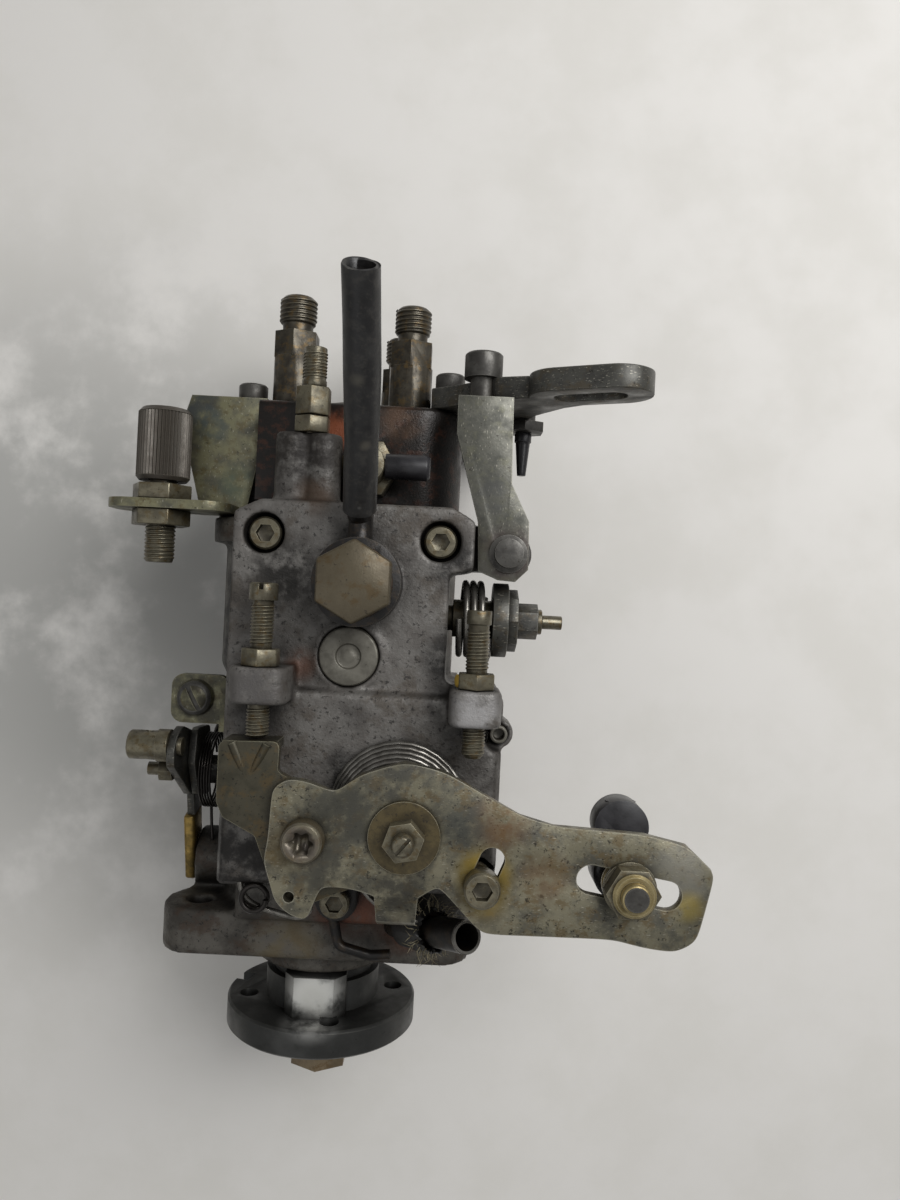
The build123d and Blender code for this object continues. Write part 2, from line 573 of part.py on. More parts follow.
# ---------------------------------------------------------------- brackets at the rear
with BuildPart() as cable_bracket:
    with BuildSketch(across_y(HEAD_END)):
        with BuildLine():
            Polyline(
                (-49, -2), (-49, FACE_Z + SHEET), (FACE_RIGHT - 0.2, FACE_Z + SHEET), (-25.2, 12),
                (-28, -2), (-38, -7),
                close=True,
            )
        make_face()
        for x, z in valves:
            with Locations((x, z)):
                Circle(VALVE_STEM_R + 0.4, mode=Mode.SUBTRACT)
        with Locations((-32, 19)):
            Circle(HEAD_SCREW_R + SEAT, mode=Mode.SUBTRACT)
    extrude(amount=-SHEET)
    with BuildSketch(Plane.XY.offset(FACE_Z)):
        with BuildLine():
            Polyline(
                (-51, HEAD_END + SHEET), (FACE_RIGHT - 0.2, HEAD_END + SHEET), (FACE_RIGHT - 0.2, 178),
                (-31, FACE_FRONT), (-46, FACE_FRONT), (-54, 178),
                close=True,
            )
        make_face()
    extrude(amount=SHEET)
    rod((valves[1][0], HEAD_END, valves[1][1]), (0, 1, 0), VALVE_STEM_R + 0.4, 10, Mode.SUBTRACT)
    with BuildSketch(across_y(FACE_FRONT)):
        with Locations((-53, 36)):
            RectangleRounded(40, 21, 8)
        with Locations((-40, 30)):
            Rectangle(14, 11)
    extrude(amount=-SHEET)
    rod((CABLE_X, 140, CABLE_Z), (0, 1, 0), 5 + SEAT, 20, Mode.SUBTRACT)

with BuildPart() as cable_adjuster:
    turned(
        (CABLE_X, 0, CABLE_Z),
        (0, 1, 0),
        [(130, 3.9), (131, 5), (156.8, 5), (156.8, 7.8), (157.8, 8.6), (179.5, 8.6), (180.5, 7.6)],
    )
    rod((CABLE_X, 129, CABLE_Z), (0, 1, 0), 1.5, 60, Mode.SUBTRACT)

STAY_Z = 57.0
STAY_BOLT = (47.5, 51.5)
with BuildPart() as stay_strap:
    with BuildSketch(Plane.XY.offset(STAY_Z)):
        with BuildLine():
            Polyline(
                (40, 185), (57, 185), (57.2, 173), (57.6, 158.5), (63.4, 147.2), (63.8, 132.5),
                (60, 128.7), (54.8, 129), (48.5, 131.5), (47.8, 146.7), (40.1, 173.3),
                close=True,
            )
        make_face()
    extrude(amount=3)
    with BuildSketch(across_y(182)):
        with Locations((48.5, 52)):
            Rectangle(17, 16)
    extrude(amount=-3)
    rod((57.5, 137.1, STAY_Z - 1), (0, 0, 1), 3 + SEAT, 6, Mode.SUBTRACT)
    rod((STAY_BOLT[0], 180, STAY_BOLT[1]), (0, 1, 0), 4 + SEAT, 10, Mode.SUBTRACT)

SUPPORT_T = 7.0
SLOT_CENTER = (79.5, 65.0)
SLOT_TILT = 25.0
SLOT_LONG = 22.5
SLOT_WIDE = 8.5
ARM_R = 10.5
with BuildPart() as rear_support_plate:
    with BuildSketch(across_y(HEAD_END)):
        with BuildLine():
            Polyline(
                (31, 37), (42, 46), (52, 56.5), (62, 60), (80, 70), (86, 60), (74, 48),
                (66, 34), (60, 10), (56, -20), (58, GROUND_Z), (26, GROUND_Z), (30, -38),
                (28.5, -33), (31.2, -12), (31.2, 18),
                close=True,
            )
        make_face()
        with Locations(Location((SLOT_CENTER[0], SLOT_CENTER[1]), SLOT_TILT)):
            SlotOverall(SLOT_LONG + 2 * ARM_R - SLOT_WIDE + 3, 2 * ARM_R)
            SlotOverall(SLOT_LONG, SLOT_WIDE, mode=Mode.SUBTRACT)
        with Locations((63, 22), STAY_BOLT):
            Circle(4 + SEAT, mode=Mode.SUBTRACT)
        for x, z, _ in head_screw_seats[:2]:
            with Locations((x, z)):
                Circle(HEAD_SCREW_R + SEAT, mode=Mode.SUBTRACT)
    extrude(amount=-SUPPORT_T)

with BuildPart() as bracket_screws:
    cap_screw((STAY_BOLT[0], HEAD_END + SUPPORT_T, STAY_BOLT[1]), (0, 1, 0), 6, 8, 4, SUPPORT_T + 5, 6)
    hex_bar((STAY_BOLT[0], 178.5, STAY_BOLT[1]), (0, 1, 0), 10, 3.5, x_dir=(1, 0, 0))
    rod((STAY_BOLT[0], 178, STAY_BOLT[1]), (0, 1, 0), 4, 10)
    turned((57.5, 137.1, STAY_Z + 3), (0, 0, 1), [(-8, 3), (0, 3), (0, 5.9), (1.2, 5.9), (1.2, 4.4), (5, 4.4)])
    rod((63, 181.5, 22), (0, 1, 0), 4, HEAD_END + SUPPORT_T - 181.5)
    hex_bar((63, 181.4, 22), (0, 1, 0), 13, 3.4)
    turned((-41, 86.4, 41), (0, 0, 1), [(-6, 2.5), (0, 2.5), (0, 5.5), (2.2, 5.5), (3.0, 4.5)])

with BuildPart() as side_plate:
    with BuildSketch(Plane.XY.offset(38)):
        with Locations((-39.5, 86)):
            RectangleRounded(19, 16, 4)
    extrude(amount=3)
    with BuildSketch(Plane.YZ.offset(-33.1)):
        with Locations((81.7, 32.5)):
            Rectangle(12.4, 17)
    extrude(amount=2.4)
    rod((-41, 86.4, 30), (0, 0, 1), 2.5 + SEAT, 15, Mode.SUBTRACT)

# ---------------------------------------------------------------- front right: inlet
INLET_DIR = (0.48, 0.24, 0.84)
INLET_FOOT = Vector(28.8, 15.3, SPLIT_Z)
INLET_R = 4.7
INLET_NECK_R = 4.3
INLET_NECK_BORE = 3.3
INLET_BORE = 3.8
inlet_axis = Vector(*INLET_DIR).normalized()
with BuildPart() as inlet_pipe:
    rod(tuple(INLET_FOOT - inlet_axis * 4), tuple(inlet_axis), INLET_NECK_R, 48)
    rod(tuple(INLET_FOOT + inlet_axis * 26.3), tuple(inlet_axis), INLET_R, 17.7)
    with BuildSketch(Plane.XY.offset(SPLIT_Z - 20)) as below:
        Rectangle(200, 400)
    extrude(below.sketch, amount=20, mode=Mode.SUBTRACT)
    rod((INLET_FOOT.X + 1, INLET_FOOT.Y + 5, SPLIT_Z), (0, 0, 1), 6.5, 2)
    rod(tuple(INLET_FOOT + inlet_axis * 5), tuple(inlet_axis), INLET_NECK_BORE, 41, Mode.SUBTRACT)
    rod(tuple(INLET_FOOT + inlet_axis * 27.3), tuple(inlet_axis), INLET_BORE, 20, Mode.SUBTRACT)

with BuildPart() as inlet_hose:
    rod(tuple(INLET_FOOT + inlet_axis * 7), tuple(inlet_axis), 6.4, 19)
    rod(tuple(INLET_FOOT + inlet_axis * 6), tuple(inlet_axis), INLET_NECK_R + SEAT, 22, Mode.SUBTRACT)

with BuildPart() as vent_pipe:
    with BuildLine() as vent_path:
        FilletPolyline((7.5, 17.0, 42), (9.5, 8.0, 42), (20, 5.4, 42), (26.5, 6.0, 42), radius=3.5)
    with BuildSketch(Plane(origin=vent_path.line @ 0, z_dir=vent_path.line % 0)) as vent_section:
        Circle(1.7)
    sweep(vent_section.sketch, path=vent_path.line)

# ---------------------------------------------------------------- timing device
with BuildPart() as timing_covers:
    for side in (-1, 1):
        with BuildSketch(Plane.YZ.offset(side * TIMING_HALF_X)) as end_plate:
            with Locations((TIMING_Y, TIMING_Z)):
                RectangleRounded(31, 27, 4)
        extrude(end_plate.sketch, amount=side * TIMING_COVER_T)
        rod((side * TIMING_HALF_X, TIMING_Y, TIMING_Z), (-side, 0, 0), TIMING_R - 0.1, TIMING_PLUG_L)
    for side, y, z in timing_screws:
        rod((side * 30, y, z), (side, 0, 0), 2.5 + SEAT, 20, Mode.SUBTRACT)

with BuildPart() as timing_piston:
    rod(
        (TIMING_STROKE_ROOM - TIMING_HALF_X, TIMING_Y, TIMING_Z),
        (1, 0, 0),
        TIMING_R - RUNNING,
        TIMING_HALF_X,
    )
    rod((0, TIMING_Y, TIMING_Z - 5), (0, 0, 1), PIN_R + GAP, 6.5, Mode.SUBTRACT)
    with BuildSketch(Plane.XY.offset(TIMING_Z + 1)) as pin_slot:
        with Locations((0, TIMING_Y)):
            SlotOverall(2 * (PIN_SHANK_R + 2.2), 2 * PIN_R + GAP)
    extrude(pin_slot.sketch, amount=12, mode=Mode.SUBTRACT)
    rod((6, TIMING_Y, TIMING_Z), (1, 0, 0), 7, 12, Mode.SUBTRACT)

timing_spring_length = TIMING_HALF_X - TIMING_PLUG_L - TIMING_SPRING_ROOM - TIMING_SPRING_X
with BuildPart() as timing_spring:
    coil(
        (TIMING_SPRING_X, TIMING_Y, TIMING_Z),
        (1, 0, 0),
        5.5,
        1.0,
        timing_spring_length / TIMING_SPRING_TURNS,
        TIMING_SPRING_TURNS,
    )

# ---------------------------------------------------------------- drive line
with BuildPart() as drive_shaft:
    turned(
        (0, 0, 0),
        (0, 1, 0),
        [
            (-52, 5.2), (-51, 6), (-39.8, 6), (-39.8, 8.6), (-12, SHAFT_R), (66, SHAFT_R), (66, 12.5),
            (70, 12.5),
        ],
    )
    with BuildSketch(across_y(70)) as claws:
        Circle(12.5)
        Circle(7, mode=Mode.SUBTRACT)
        Rectangle(40, 9, mode=Mode.INTERSECT)
    extrude(claws.sketch, amount=-9)

with BuildPart() as drive_hub:
    turned(
        (0, 0, 0),
        (0, 1, 0),
        [
            (-39.8, 13), (DISC_BACK - DISC_T, 13), (DISC_BACK - DISC_T, DISC_R - 0.8),
            (DISC_BACK - DISC_T + 0.8, DISC_R), (DISC_BACK - 0.8, DISC_R), (DISC_BACK, DISC_R - 0.8),
            (DISC_BACK, NECK_R), (-PILOT_L - 5, NECK_R), (-PILOT_L - 5, 18), (-PILOT_L - 1.2, 18),
        ],
    )
    with BuildSketch(across_y(DISC_BACK + 0.01)) as block:
        with BuildLine():
            Polyline((-10.6, 8), (-10.6, 20.5), (-7, 25), (7, 25), (10.6, 20.5), (10.6, 8), close=True)
        make_face()
    extrude(block.sketch, amount=-(-PILOT_L - 1.4 - DISC_BACK))
    turned(
        (0, 0, 0),
        (0, 1, 0),
        [(-39.9, 8.6 + SEAT), (-39.8, 8.6 + SEAT), (-12, SHAFT_R + SEAT), (-8, SHAFT_R + SEAT)],
        Mode.SUBTRACT,
    )
    for angle in (-13, 77, 167, 257):
        x, z = on_circle(DISC_HOLE_PCR, angle)
        rod((x, DISC_BACK - DISC_T - 1, z), (0, 1, 0), DISC_HOLE_R, DISC_T + 2, Mode.SUBTRACT)
    with BuildSketch(across_y(DISC_BACK - DISC_T - 1)) as rim_notch:
        with Locations(Location((-33.5, -9.0), 15)):
            Rectangle(12, 7)
    extrude(rim_notch.sketch, amount=-(DISC_T + 2), mode=Mode.SUBTRACT)

with BuildPart() as hub_nut:
    turned((0, -42, 0), (0, 1, 0), [(0, 12), (2.1, 12)])
    hex_bar((0, -50, 0), (0, 1, 0), 19, 8.2)
    rod((0, -51, 0), (0, 1, 0), 6 + SEAT, 12, Mode.SUBTRACT)

with BuildPart() as shaft_seal:
    turned((0, 0, 0), (0, 1, 0), [(-PILOT_L + 0.3, 15.4), (-2.1, 15.4)])
    rod((0, -PILOT_L - 1, 0), (0, 1, 0), SHAFT_R + 0.08, 10, Mode.SUBTRACT)

VANE_REACH = 22.1
with BuildPart() as feed_pump_ring:
    rod((0, PUMP_FRONT, 0), (0, 1, 0), PUMP_R, PUMP_T)
    rod((1.2, PUMP_FRONT - 1, 0), (0, 1, 0), 23.7, PUMP_T + 2, Mode.SUBTRACT)
    rod((0, PUMP_FRONT + PUMP_T, 0), (0, 1, 0), PUMP_R, PLATE_T)
    rod((0, PUMP_FRONT, 0), (0, 1, 0), SHAFT_R + 0.5, 30, Mode.SUBTRACT)

with BuildPart() as feed_pump_rotor:
    rod((0, PUMP_FRONT + 0.2, 0), (0, 1, 0), 21.5, PUMP_T - 0.4)
    rod((0, PUMP_FRONT, 0), (0, 1, 0), SHAFT_R + SEAT, PUMP_T + 2, Mode.SUBTRACT)
    with BuildSketch(across_y(PUMP_FRONT)) as vane_slots:
        with PolarLocations(18.2, 4, start_angle=45):
            Rectangle(8.6, 3)
    extrude(vane_slots.sketch, amount=-(PUMP_T + 1), mode=Mode.SUBTRACT)
    with BuildSketch(across_y(PUMP_FRONT + 0.3)) as vane:
        with PolarLocations(18.1, 4, start_angle=45):
            Rectangle(8.0, 2.9)
    extrude(vane.sketch, amount=-(PUMP_T - 0.6))

with BuildPart() as drive_gear:
    gear((0, GEAR_Y, 0), DRIVE_TEETH, GEAR_W, SHAFT_R + SEAT, mesh_angle)

with BuildPart() as roller_ring:
    rod((0, ROLLER_RING_Y, 0), (0, 1, 0), MAIN_BORE_R - GAP, 8)
    rod((0, ROLLER_RING_Y - 1, 0), (0, 1, 0), 14, 12, Mode.SUBTRACT)
    roller_y = CREST_Y - GAP - ROLLER_R
    for angle in (45, 135, 225, 315):
        x, z = on_circle(1, angle)
        rod((15.8 * x, roller_y, 15.8 * z), (x, 0, z), ROLLER_R + RUNNING, 14.4, Mode.SUBTRACT)
    rod((0, TIMING_Y, -MAIN_BORE_R + 5), (0, 0, -1), PIN_SHANK_R, -TIMING_Z - MAIN_BORE_R + 5)
    with Locations((0, TIMING_Y, TIMING_Z)):
        Sphere(PIN_R)
    for angle in (45, 135, 225, 315):
        x, z = on_circle(1, angle)
        rod((16 * x, roller_y, 16 * z), (x, 0, z), ROLLER_R, 14)

with BuildPart() as cam_plate:
    turned(
        (0, 0, 0),
        (0, 1, 0),
        [(81.5, 12.5), (CREST_Y, 12.5), (CREST_Y + CAM_LIFT, 13.5), (CREST_Y + CAM_LIFT, CAM_R), (96, CAM_R)],
    )
    with BuildSketch(across_y(CREST_Y + CAM_LIFT)) as crest:
        with PolarLocations(22.5, 4, start_angle=45):
            Rectangle(14, 13)
    extrude(crest.sketch, amount=CAM_LIFT, taper=25)
    with BuildSketch(across_y(72)) as cam_claws:
        Circle(12.5)
        Circle(7, mode=Mode.SUBTRACT)
        Rectangle(9, 40, mode=Mode.INTERSECT)
    extrude(cam_claws.sketch, amount=-10)

with BuildPart() as plunger:
    turned((0, 0, 0), (0, 1, 0), [(96.05, 9), (99, 9), (99, PLUNGER_R), (176, PLUNGER_R)])

with BuildPart() as plunger_springs:
    with BuildSketch(across_y(99.6)) as bridge:
        SlotOverall(58, 14)
        Circle(PLUNGER_R + 0.4, mode=Mode.SUBTRACT)
    extrude(bridge.sketch, amount=-2.4)
    for x in (-23, 23):
        coil((x, 103.0, 0), (0, 1, 0), 4.5, 0.9, 6.0, 7.2)

# ---------------------------------------------------------------- governor
with BuildPart() as governor_shaft:
    rod((GOVERNOR_X, FLANGE_T + 6, governor_z), (0, 1, 0), GOVERNOR_SHAFT_R, 64)

with BuildPart() as flyweight_cage:
    gear(
        (GOVERNOR_X, GEAR_Y + 0.5, governor_z), GOVERNOR_TEETH, GEAR_W - 1,
        GOVERNOR_SHAFT_R + RUNNING, mesh_angle + 180 + 180 / GOVERNOR_TEETH,
    )
    turned(
        (GOVERNOR_X, GEAR_Y + GEAR_W - 2, governor_z),
        (0, 1, 0),
        [(0, 12), (2.5, 12), (2.5, CAGE_R), (5.5, CAGE_R)],
    )
    rod((GOVERNOR_X, GEAR_Y, governor_z), (0, 1, 0), GOVERNOR_SHAFT_R + RUNNING, 20, Mode.SUBTRACT)
    turned(
        (GOVERNOR_X, CAGE_Y + 1, governor_z),
        (0, 1, 0),
        [(0, CAGE_R), (CAGE_L - 1, CAGE_R)],
    )
    rod((GOVERNOR_X, CAGE_Y + 3, governor_z), (0, 1, 0), CAGE_R - 3, CAGE_L, Mode.SUBTRACT)
    with BuildSketch(across_y(CAGE_Y + 3)) as windows:
        with Locations((GOVERNOR_X, governor_z)):
            Rectangle(12, 50)
            Rectangle(50, 12)
    extrude(windows.sketch, amount=-CAGE_L, mode=Mode.SUBTRACT)
    rod((GOVERNOR_X, GEAR_Y, governor_z), (0, 1, 0), GOVERNOR_SHAFT_R + RUNNING, 20, Mode.SUBTRACT)

with BuildPart() as flyweights:
    with BuildSketch(across_y(CAGE_Y + 3)) as weights:
        with Locations((GOVERNOR_X, governor_z)):
            with PolarLocations(14.2, 4):
                RectangleRounded(7, 11, 2)
    extrude(weights.sketch, amount=-15)

with BuildPart() as governor_sleeve:
    turned(
        (GOVERNOR_X, CAGE_Y + 4, governor_z),
        (0, 1, 0),
        [(0, 9.5), (2, 9.5), (2, 6.5), (36, 6.5), (38, 4.0)],
    )
    rod((GOVERNOR_X, CAGE_Y, governor_z), (0, 1, 0), GOVERNOR_SHAFT_R + RUNNING, 39, Mode.SUBTRACT)

with BuildPart() as governor_lever:
    _, pivot_y, pivot_z = LEVER_PIVOT
    with BuildSketch(Plane.YZ.offset(GOVERNOR_X - 7)) as upper_arm:
        with BuildLine():
            Polyline(
                (89.5, governor_z + 6), (92.5, governor_z + 6), (94, governor_z),
                (pivot_y + 3, pivot_z + 3), (pivot_y + 2, pivot_z - 4), (pivot_y - 3, pivot_z - 4),
                (91, governor_z - 6), (89.5, governor_z - 6),
                close=True,
            )
        make_face()
    extrude(upper_arm.sketch, amount=9)
    rod((COVER_LEFT + 2.5, pivot_y, pivot_z), (1, 0, 0), PIVOT_R, COVER_RIGHT_REAR - COVER_LEFT - 5)
    with BuildSketch(Plane.YZ.offset(-2.5)) as lower_arm:
        with BuildLine():
            Polyline(
                (pivot_y - 3, pivot_z - 2), (pivot_y + 3, pivot_z - 2), (pivot_y + 1.8, 8.2),
                (pivot_y - 1.8, 8.2),
                close=True,
            )
        make_face()
    extrude(lower_arm.sketch, amount=5)

with BuildPart() as control_spool:
    rod((0, SPOOL_Y, 0), (0, 1, 0), 11, SPOOL_L)
    rod((0, SPOOL_Y - 1, 0), (0, 1, 0), PLUNGER_R + 0.04, SPOOL_L + 2, Mode.SUBTRACT)
    with BuildSketch(Plane.XY.offset(7.6)) as pocket:
        with Locations((0, SPOOL_Y + SPOOL_L / 2)):
            Rectangle(6.2, 5.2)
    extrude(pocket.sketch, amount=5, mode=Mode.SUBTRACT)

# ---------------------------------------------------------------- throttle
with BuildPart() as throttle_shaft:
    turned(
        (THROTTLE_X, THROTTLE_Y, 0),
        (0, 0, 1),
        [
            (56.5, 7.5), (58.5, 7.5), (58.5, THROTTLE_R), (FRONT_TOP_Z + 1, THROTTLE_R),
            (FRONT_TOP_Z + 1, 8), (STOP_PLATE_Z, 8), (STOP_PLATE_Z, 5), (LEVER_Z + LEVER_T, 5),
            (LEVER_Z + LEVER_T, 3), (98, 3), (98.6, 2.4),
        ],
    )

with BuildPart() as stop_plate:
    with BuildSketch(Plane.XY.offset(STOP_PLATE_Z)) as plate_sketch:
        with BuildLine():
            Polyline(
                (-22, 80), (-5, 80.5), (-5.2, 72), (8, 66), (20, 70), (40, 68), (46, 58),
                (40, 44), (20, 42), (6, 36), (-4, 37), (-10.8, 54), (-20, 58.7), (-22, 63),
                close=True,
            )
        make_face()
        fillet(plate_sketch.vertices(), 2)
        with Locations((THROTTLE_X, THROTTLE_Y)):
            Circle(5 + SEAT, mode=Mode.SUBTRACT)
    extrude(amount=STOP_PLATE_T)
    with BuildSketch(across_y(80.2)) as idle_tab:
        with Locations((-13.5, 78.6)):
            Rectangle(15, 11.8)
    extrude(idle_tab.sketch, amount=2.6)
    with BuildSketch(Plane.XY.offset(STOP_PLATE_Z - 7)) as max_tab:
        with Locations(Location((58.0, 60.4), 8)):
            Rectangle(6, 3)
    extrude(max_tab.sketch, amount=7 + STOP_PLATE_T)
    with BuildSketch(Plane.XY.offset(STOP_PLATE_Z)) as tab_arm:
        with Locations(Location((50, 59.3), 8)):
            Rectangle(20, 8)
    extrude(tab_arm.sketch, amount=STOP_PLATE_T)
    for x, y in ((3.4, 54.5), (52.9, 44.3)):
        if x < 40:
            rod((x, y, STOP_PLATE_Z - 1), (0, 0, 1), 3 + SEAT, 6, Mode.SUBTRACT)

with BuildPart() as throttle_lever:
    with BuildSketch(Plane.XY.offset(LEVER_Z)) as lever_sketch:
        with BuildLine():
            Polyline(
                (-6.0, 68), (-2, 71), (3, 70.6), (11.5, 67.6), (18, 73), (30, 77), (41, 75),
                (62.5, 63.8), (72, 61.3), (97, 60.2), (109, 57.7), (117, 50.5), (112.8, 31.5),
                (107, 28.2), (96.5, 29.4), (90.5, 31.1), (53.5, 30.8), (41, 43.7), (36, 40),
                (23.5, 40), (16, 41.8), (8.5, 41.8), (5.3, 32), (0, 33.5), (-4, 37), (-5.2, 42),
                (-7.7, 48), (-6.4, 53),
                close=True,
            )
        make_face()
        fillet(lever_sketch.vertices(), 1.6)
        with Locations((THROTTLE_X, THROTTLE_Y)):
            Circle(5 + SEAT, mode=Mode.SUBTRACT)
        with Locations((0, 38.4)):
            Circle(1.5, mode=Mode.SUBTRACT)
        with Locations((3.4, 54.5)):
            Circle(3 + SEAT, mode=Mode.SUBTRACT)
        with Locations(Location((54.0, 47.5), 68)):
            SlotOverall(15, 7, mode=Mode.SUBTRACT)
        with Locations(Location((STUD_XY[0], STUD_XY[1]), -9.3)):
            SlotOverall(29.5, 8.2, mode=Mode.SUBTRACT)
    extrude(amount=LEVER_T)
    with BuildSketch(Plane.YZ.offset(24)) as hook_tab:
        with BuildLine():
            Polyline(
                (41, LEVER_Z + LEVER_T), (38, LEVER_Z + LEVER_T), (31.5, 83), (28.5, 77), (31, 76),
                (34, 81.8), (40, LEVER_Z), (41, LEVER_Z),
                close=True,
            )
        make_face()
    extrude(hook_tab.sketch, amount=11)

with BuildPart() as lever_fasteners:
    turned((THROTTLE_X, THROTTLE_Y, LEVER_Z + LEVER_T), (0, 0, 1), [(0, 10), (1.6, 10)])
    hex_bar((THROTTLE_X, THROTTLE_Y, LEVER_Z + LEVER_T + 1.6), (0, 0, 1), 10, 5, x_dir=(1, 0.2, 0))
    rod((THROTTLE_X, THROTTLE_Y, LEVER_Z), (0, 0, 1), 3 + SEAT, 12, Mode.SUBTRACT)
    cap_screw((3.4, 54.5, LEVER_Z + LEVER_T), (0, 0, 1), 5.6, 5, 3, 7, 4.5)
    cap_screw((52.9, 44.3, LEVER_Z + LEVER_T), (0, 0, 1), 5, 6, 3, 5, 5)
    turned((STUD_XY[0], STUD_XY[1], LEVER_Z + LEVER_T), (0, 0, 1), [(0, 7.4), (1.2, 7.4)])
    hex_bar((STUD_XY[0], STUD_XY[1], LEVER_Z + LEVER_T + 1.0), (0, 0, 1), 13, 5.5)
    rod((STUD_XY[0], STUD_XY[1], LEVER_Z), (0, 0, 1), 4 + SEAT, 15, Mode.SUBTRACT)

with BuildPart() as ball_stud:
    turned(
        (STUD_XY[0], STUD_XY[1], 0),
        (0, 0, 1),
        [(76.5, 4.0), (LEVER_Z - 2, 4.0), (LEVER_Z - 2, 7), (LEVER_Z, 7), (LEVER_Z, 4), (97.5, 4), (98, 3.5)],
    )
    with Locations((STUD_XY[0], STUD_XY[1], 72)):
        Sphere(5)

with BuildPart() as ball_socket:
    turned((STUD_XY[0], STUD_XY[1], 0), (0, 0, 1), [(63, 6.5), (64, 7.9), (75, 7.9), (75.5, 7)])
    rod((STUD_XY[0], STUD_XY[1], 69), (0, 1, 0), 4.5, 20)
    rod((STUD_XY[0], STUD_XY[1] + 13, 64), (0, 0, 1), 7.9, 9.5)
    with Locations((STUD_XY[0], STUD_XY[1], 72)):
        Sphere(5.05, mode=Mode.SUBTRACT)
    rod((STUD_XY[0], STUD_XY[1], 72), (0, 0, 1), 4.6, 6, Mode.SUBTRACT)

with BuildPart() as throttle_spring:
    coil((THROTTLE_X, THROTTLE_Y, 71.2), (0, 0, 1), 21.0, 1.15, 2.45, 3.6)

# ---------------------------------------------------------------- cold-start lever
with BuildPart() as cold_start_lever:
    turned(
        (0, COLD_Y, COLD_Z),
        (1, 0, 0),
        [
            (COLD_FACE_X - 14, 4), (COLD_FACE_X - 12.5, COLD_R), (COLD_FACE_X + 8.5, COLD_R),
            (COLD_FACE_X + 8.5, 3), (COLD_FACE_X + 11.5, 3),
        ],
    )
    with BuildSketch(Plane.YZ.offset(COLD_FACE_X - 11)) as outer_plate:
        with BuildLine():
            Polyline(
                (46, 4), (50, 20), (63.5, 41.5), (69, 42), (73.5, 38.5), (75.5, 32), (69, 8), (60, 3),
                close=True,
            )
        make_face()
        fillet(outer_plate.vertices(), 3)
    extrude(outer_plate.sketch, amount=2.6)
    with BuildSketch(Plane.YZ.offset(COLD_FACE_X - 8)) as inner_plate:
        with BuildLine():
            Polyline((47, 5), (50, 20), (62, 27), (74, 25), (73, 9), (60, 4), close=True)
        make_face()
        fillet(inner_plate.vertices(), 3)
    extrude(inner_plate.sketch, amount=2.4)
    with BuildSketch(Plane.YZ.offset(COLD_FACE_X - 11)) as finger:
        with BuildLine():
            Polyline((52, 6), (50, 16), (19, 8), (17.5, 3), (22, 1), close=True)
        make_face()
    extrude(finger.sketch, amount=2.6)
    rod((COLD_FACE_X - 13.5, CABLE_PIN_Y, CABLE_Z), (1, 0, 0), 3 + SEAT, 8, Mode.SUBTRACT)
    rod((COLD_FACE_X - 8.5, COLD_Y, COLD_Z), (1, 0, 0), 4, 1)

with BuildPart() as cable_pin:
    turned(
        (0, CABLE_PIN_Y, CABLE_Z),
        (1, 0, 0),
        [
            (COLD_FACE_X - 24.5, 4.4), (COLD_FACE_X - 24, 4.8), (COLD_FACE_X - 15, 4.8),
            (COLD_FACE_X - 15, 5.4), (COLD_FACE_X - 11.1, 5.4), (COLD_FACE_X - 11.1, 3),
            (COLD_FACE_X - 7, 3),
        ],
    )
    rod((CABLE_X, CABLE_PIN_Y - 8, CABLE_Z), (0, 1, 0), 1.5, 16, Mode.SUBTRACT)
    rod((-58, 60.8, 32), (1, 0, 0), 2.2, 8.4)
    hex_bar((-54, 60.8, 32), (1, 0, 0), 7, 4.4)

with BuildPart() as cold_start_spring:
    coil((COLD_FACE_X - 4.3, COLD_Y, COLD_Z), (1, 0, 0), 12.3, 1.0, 2.3, 1.7)

# ---------------------------------------------------------------- stop lever
with BuildPart() as stop_shaft:
    turned(
        (0, STOP_SHAFT_Y, STOP_SHAFT_Z),
        (1, 0, 0),
        [(28, 4), (41.5, 4), (41.5, 6), (59, 6), (59, 4), (70, 4), (70, 2.2), (76.5, 2.2)],
    )

with BuildPart() as stop_lever:
    turned((54, STOP_SHAFT_Y, STOP_SHAFT_Z), (1, 0, 0), [(0, 11.8), (4.9, 11.8)])
    with BuildSketch(Plane.YZ.offset(59)) as stop_arm:
        with Locations((STOP_SHAFT_Y, STOP_SHAFT_Z)):
            RegularPolygon(10, 8)
    extrude(stop_arm.sketch, amount=3)
    rod((53, STOP_SHAFT_Y, STOP_SHAFT_Z), (1, 0, 0), 6 + SEAT, 6, Mode.SUBTRACT)
    hex_bar((62.1, STOP_SHAFT_Y, STOP_SHAFT_Z), (1, 0, 0), 10, 6.5, x_dir=(0, 1, 0))
    rod((53, STOP_SHAFT_Y, STOP_SHAFT_Z), (1, 0, 0), 4 + SEAT, 17, Mode.SUBTRACT)

with BuildPart() as stop_spring:
    coil((43.4, STOP_SHAFT_Y, STOP_SHAFT_Z), (1, 0, 0), 11.4, 1.0, 2.4, 3.6)

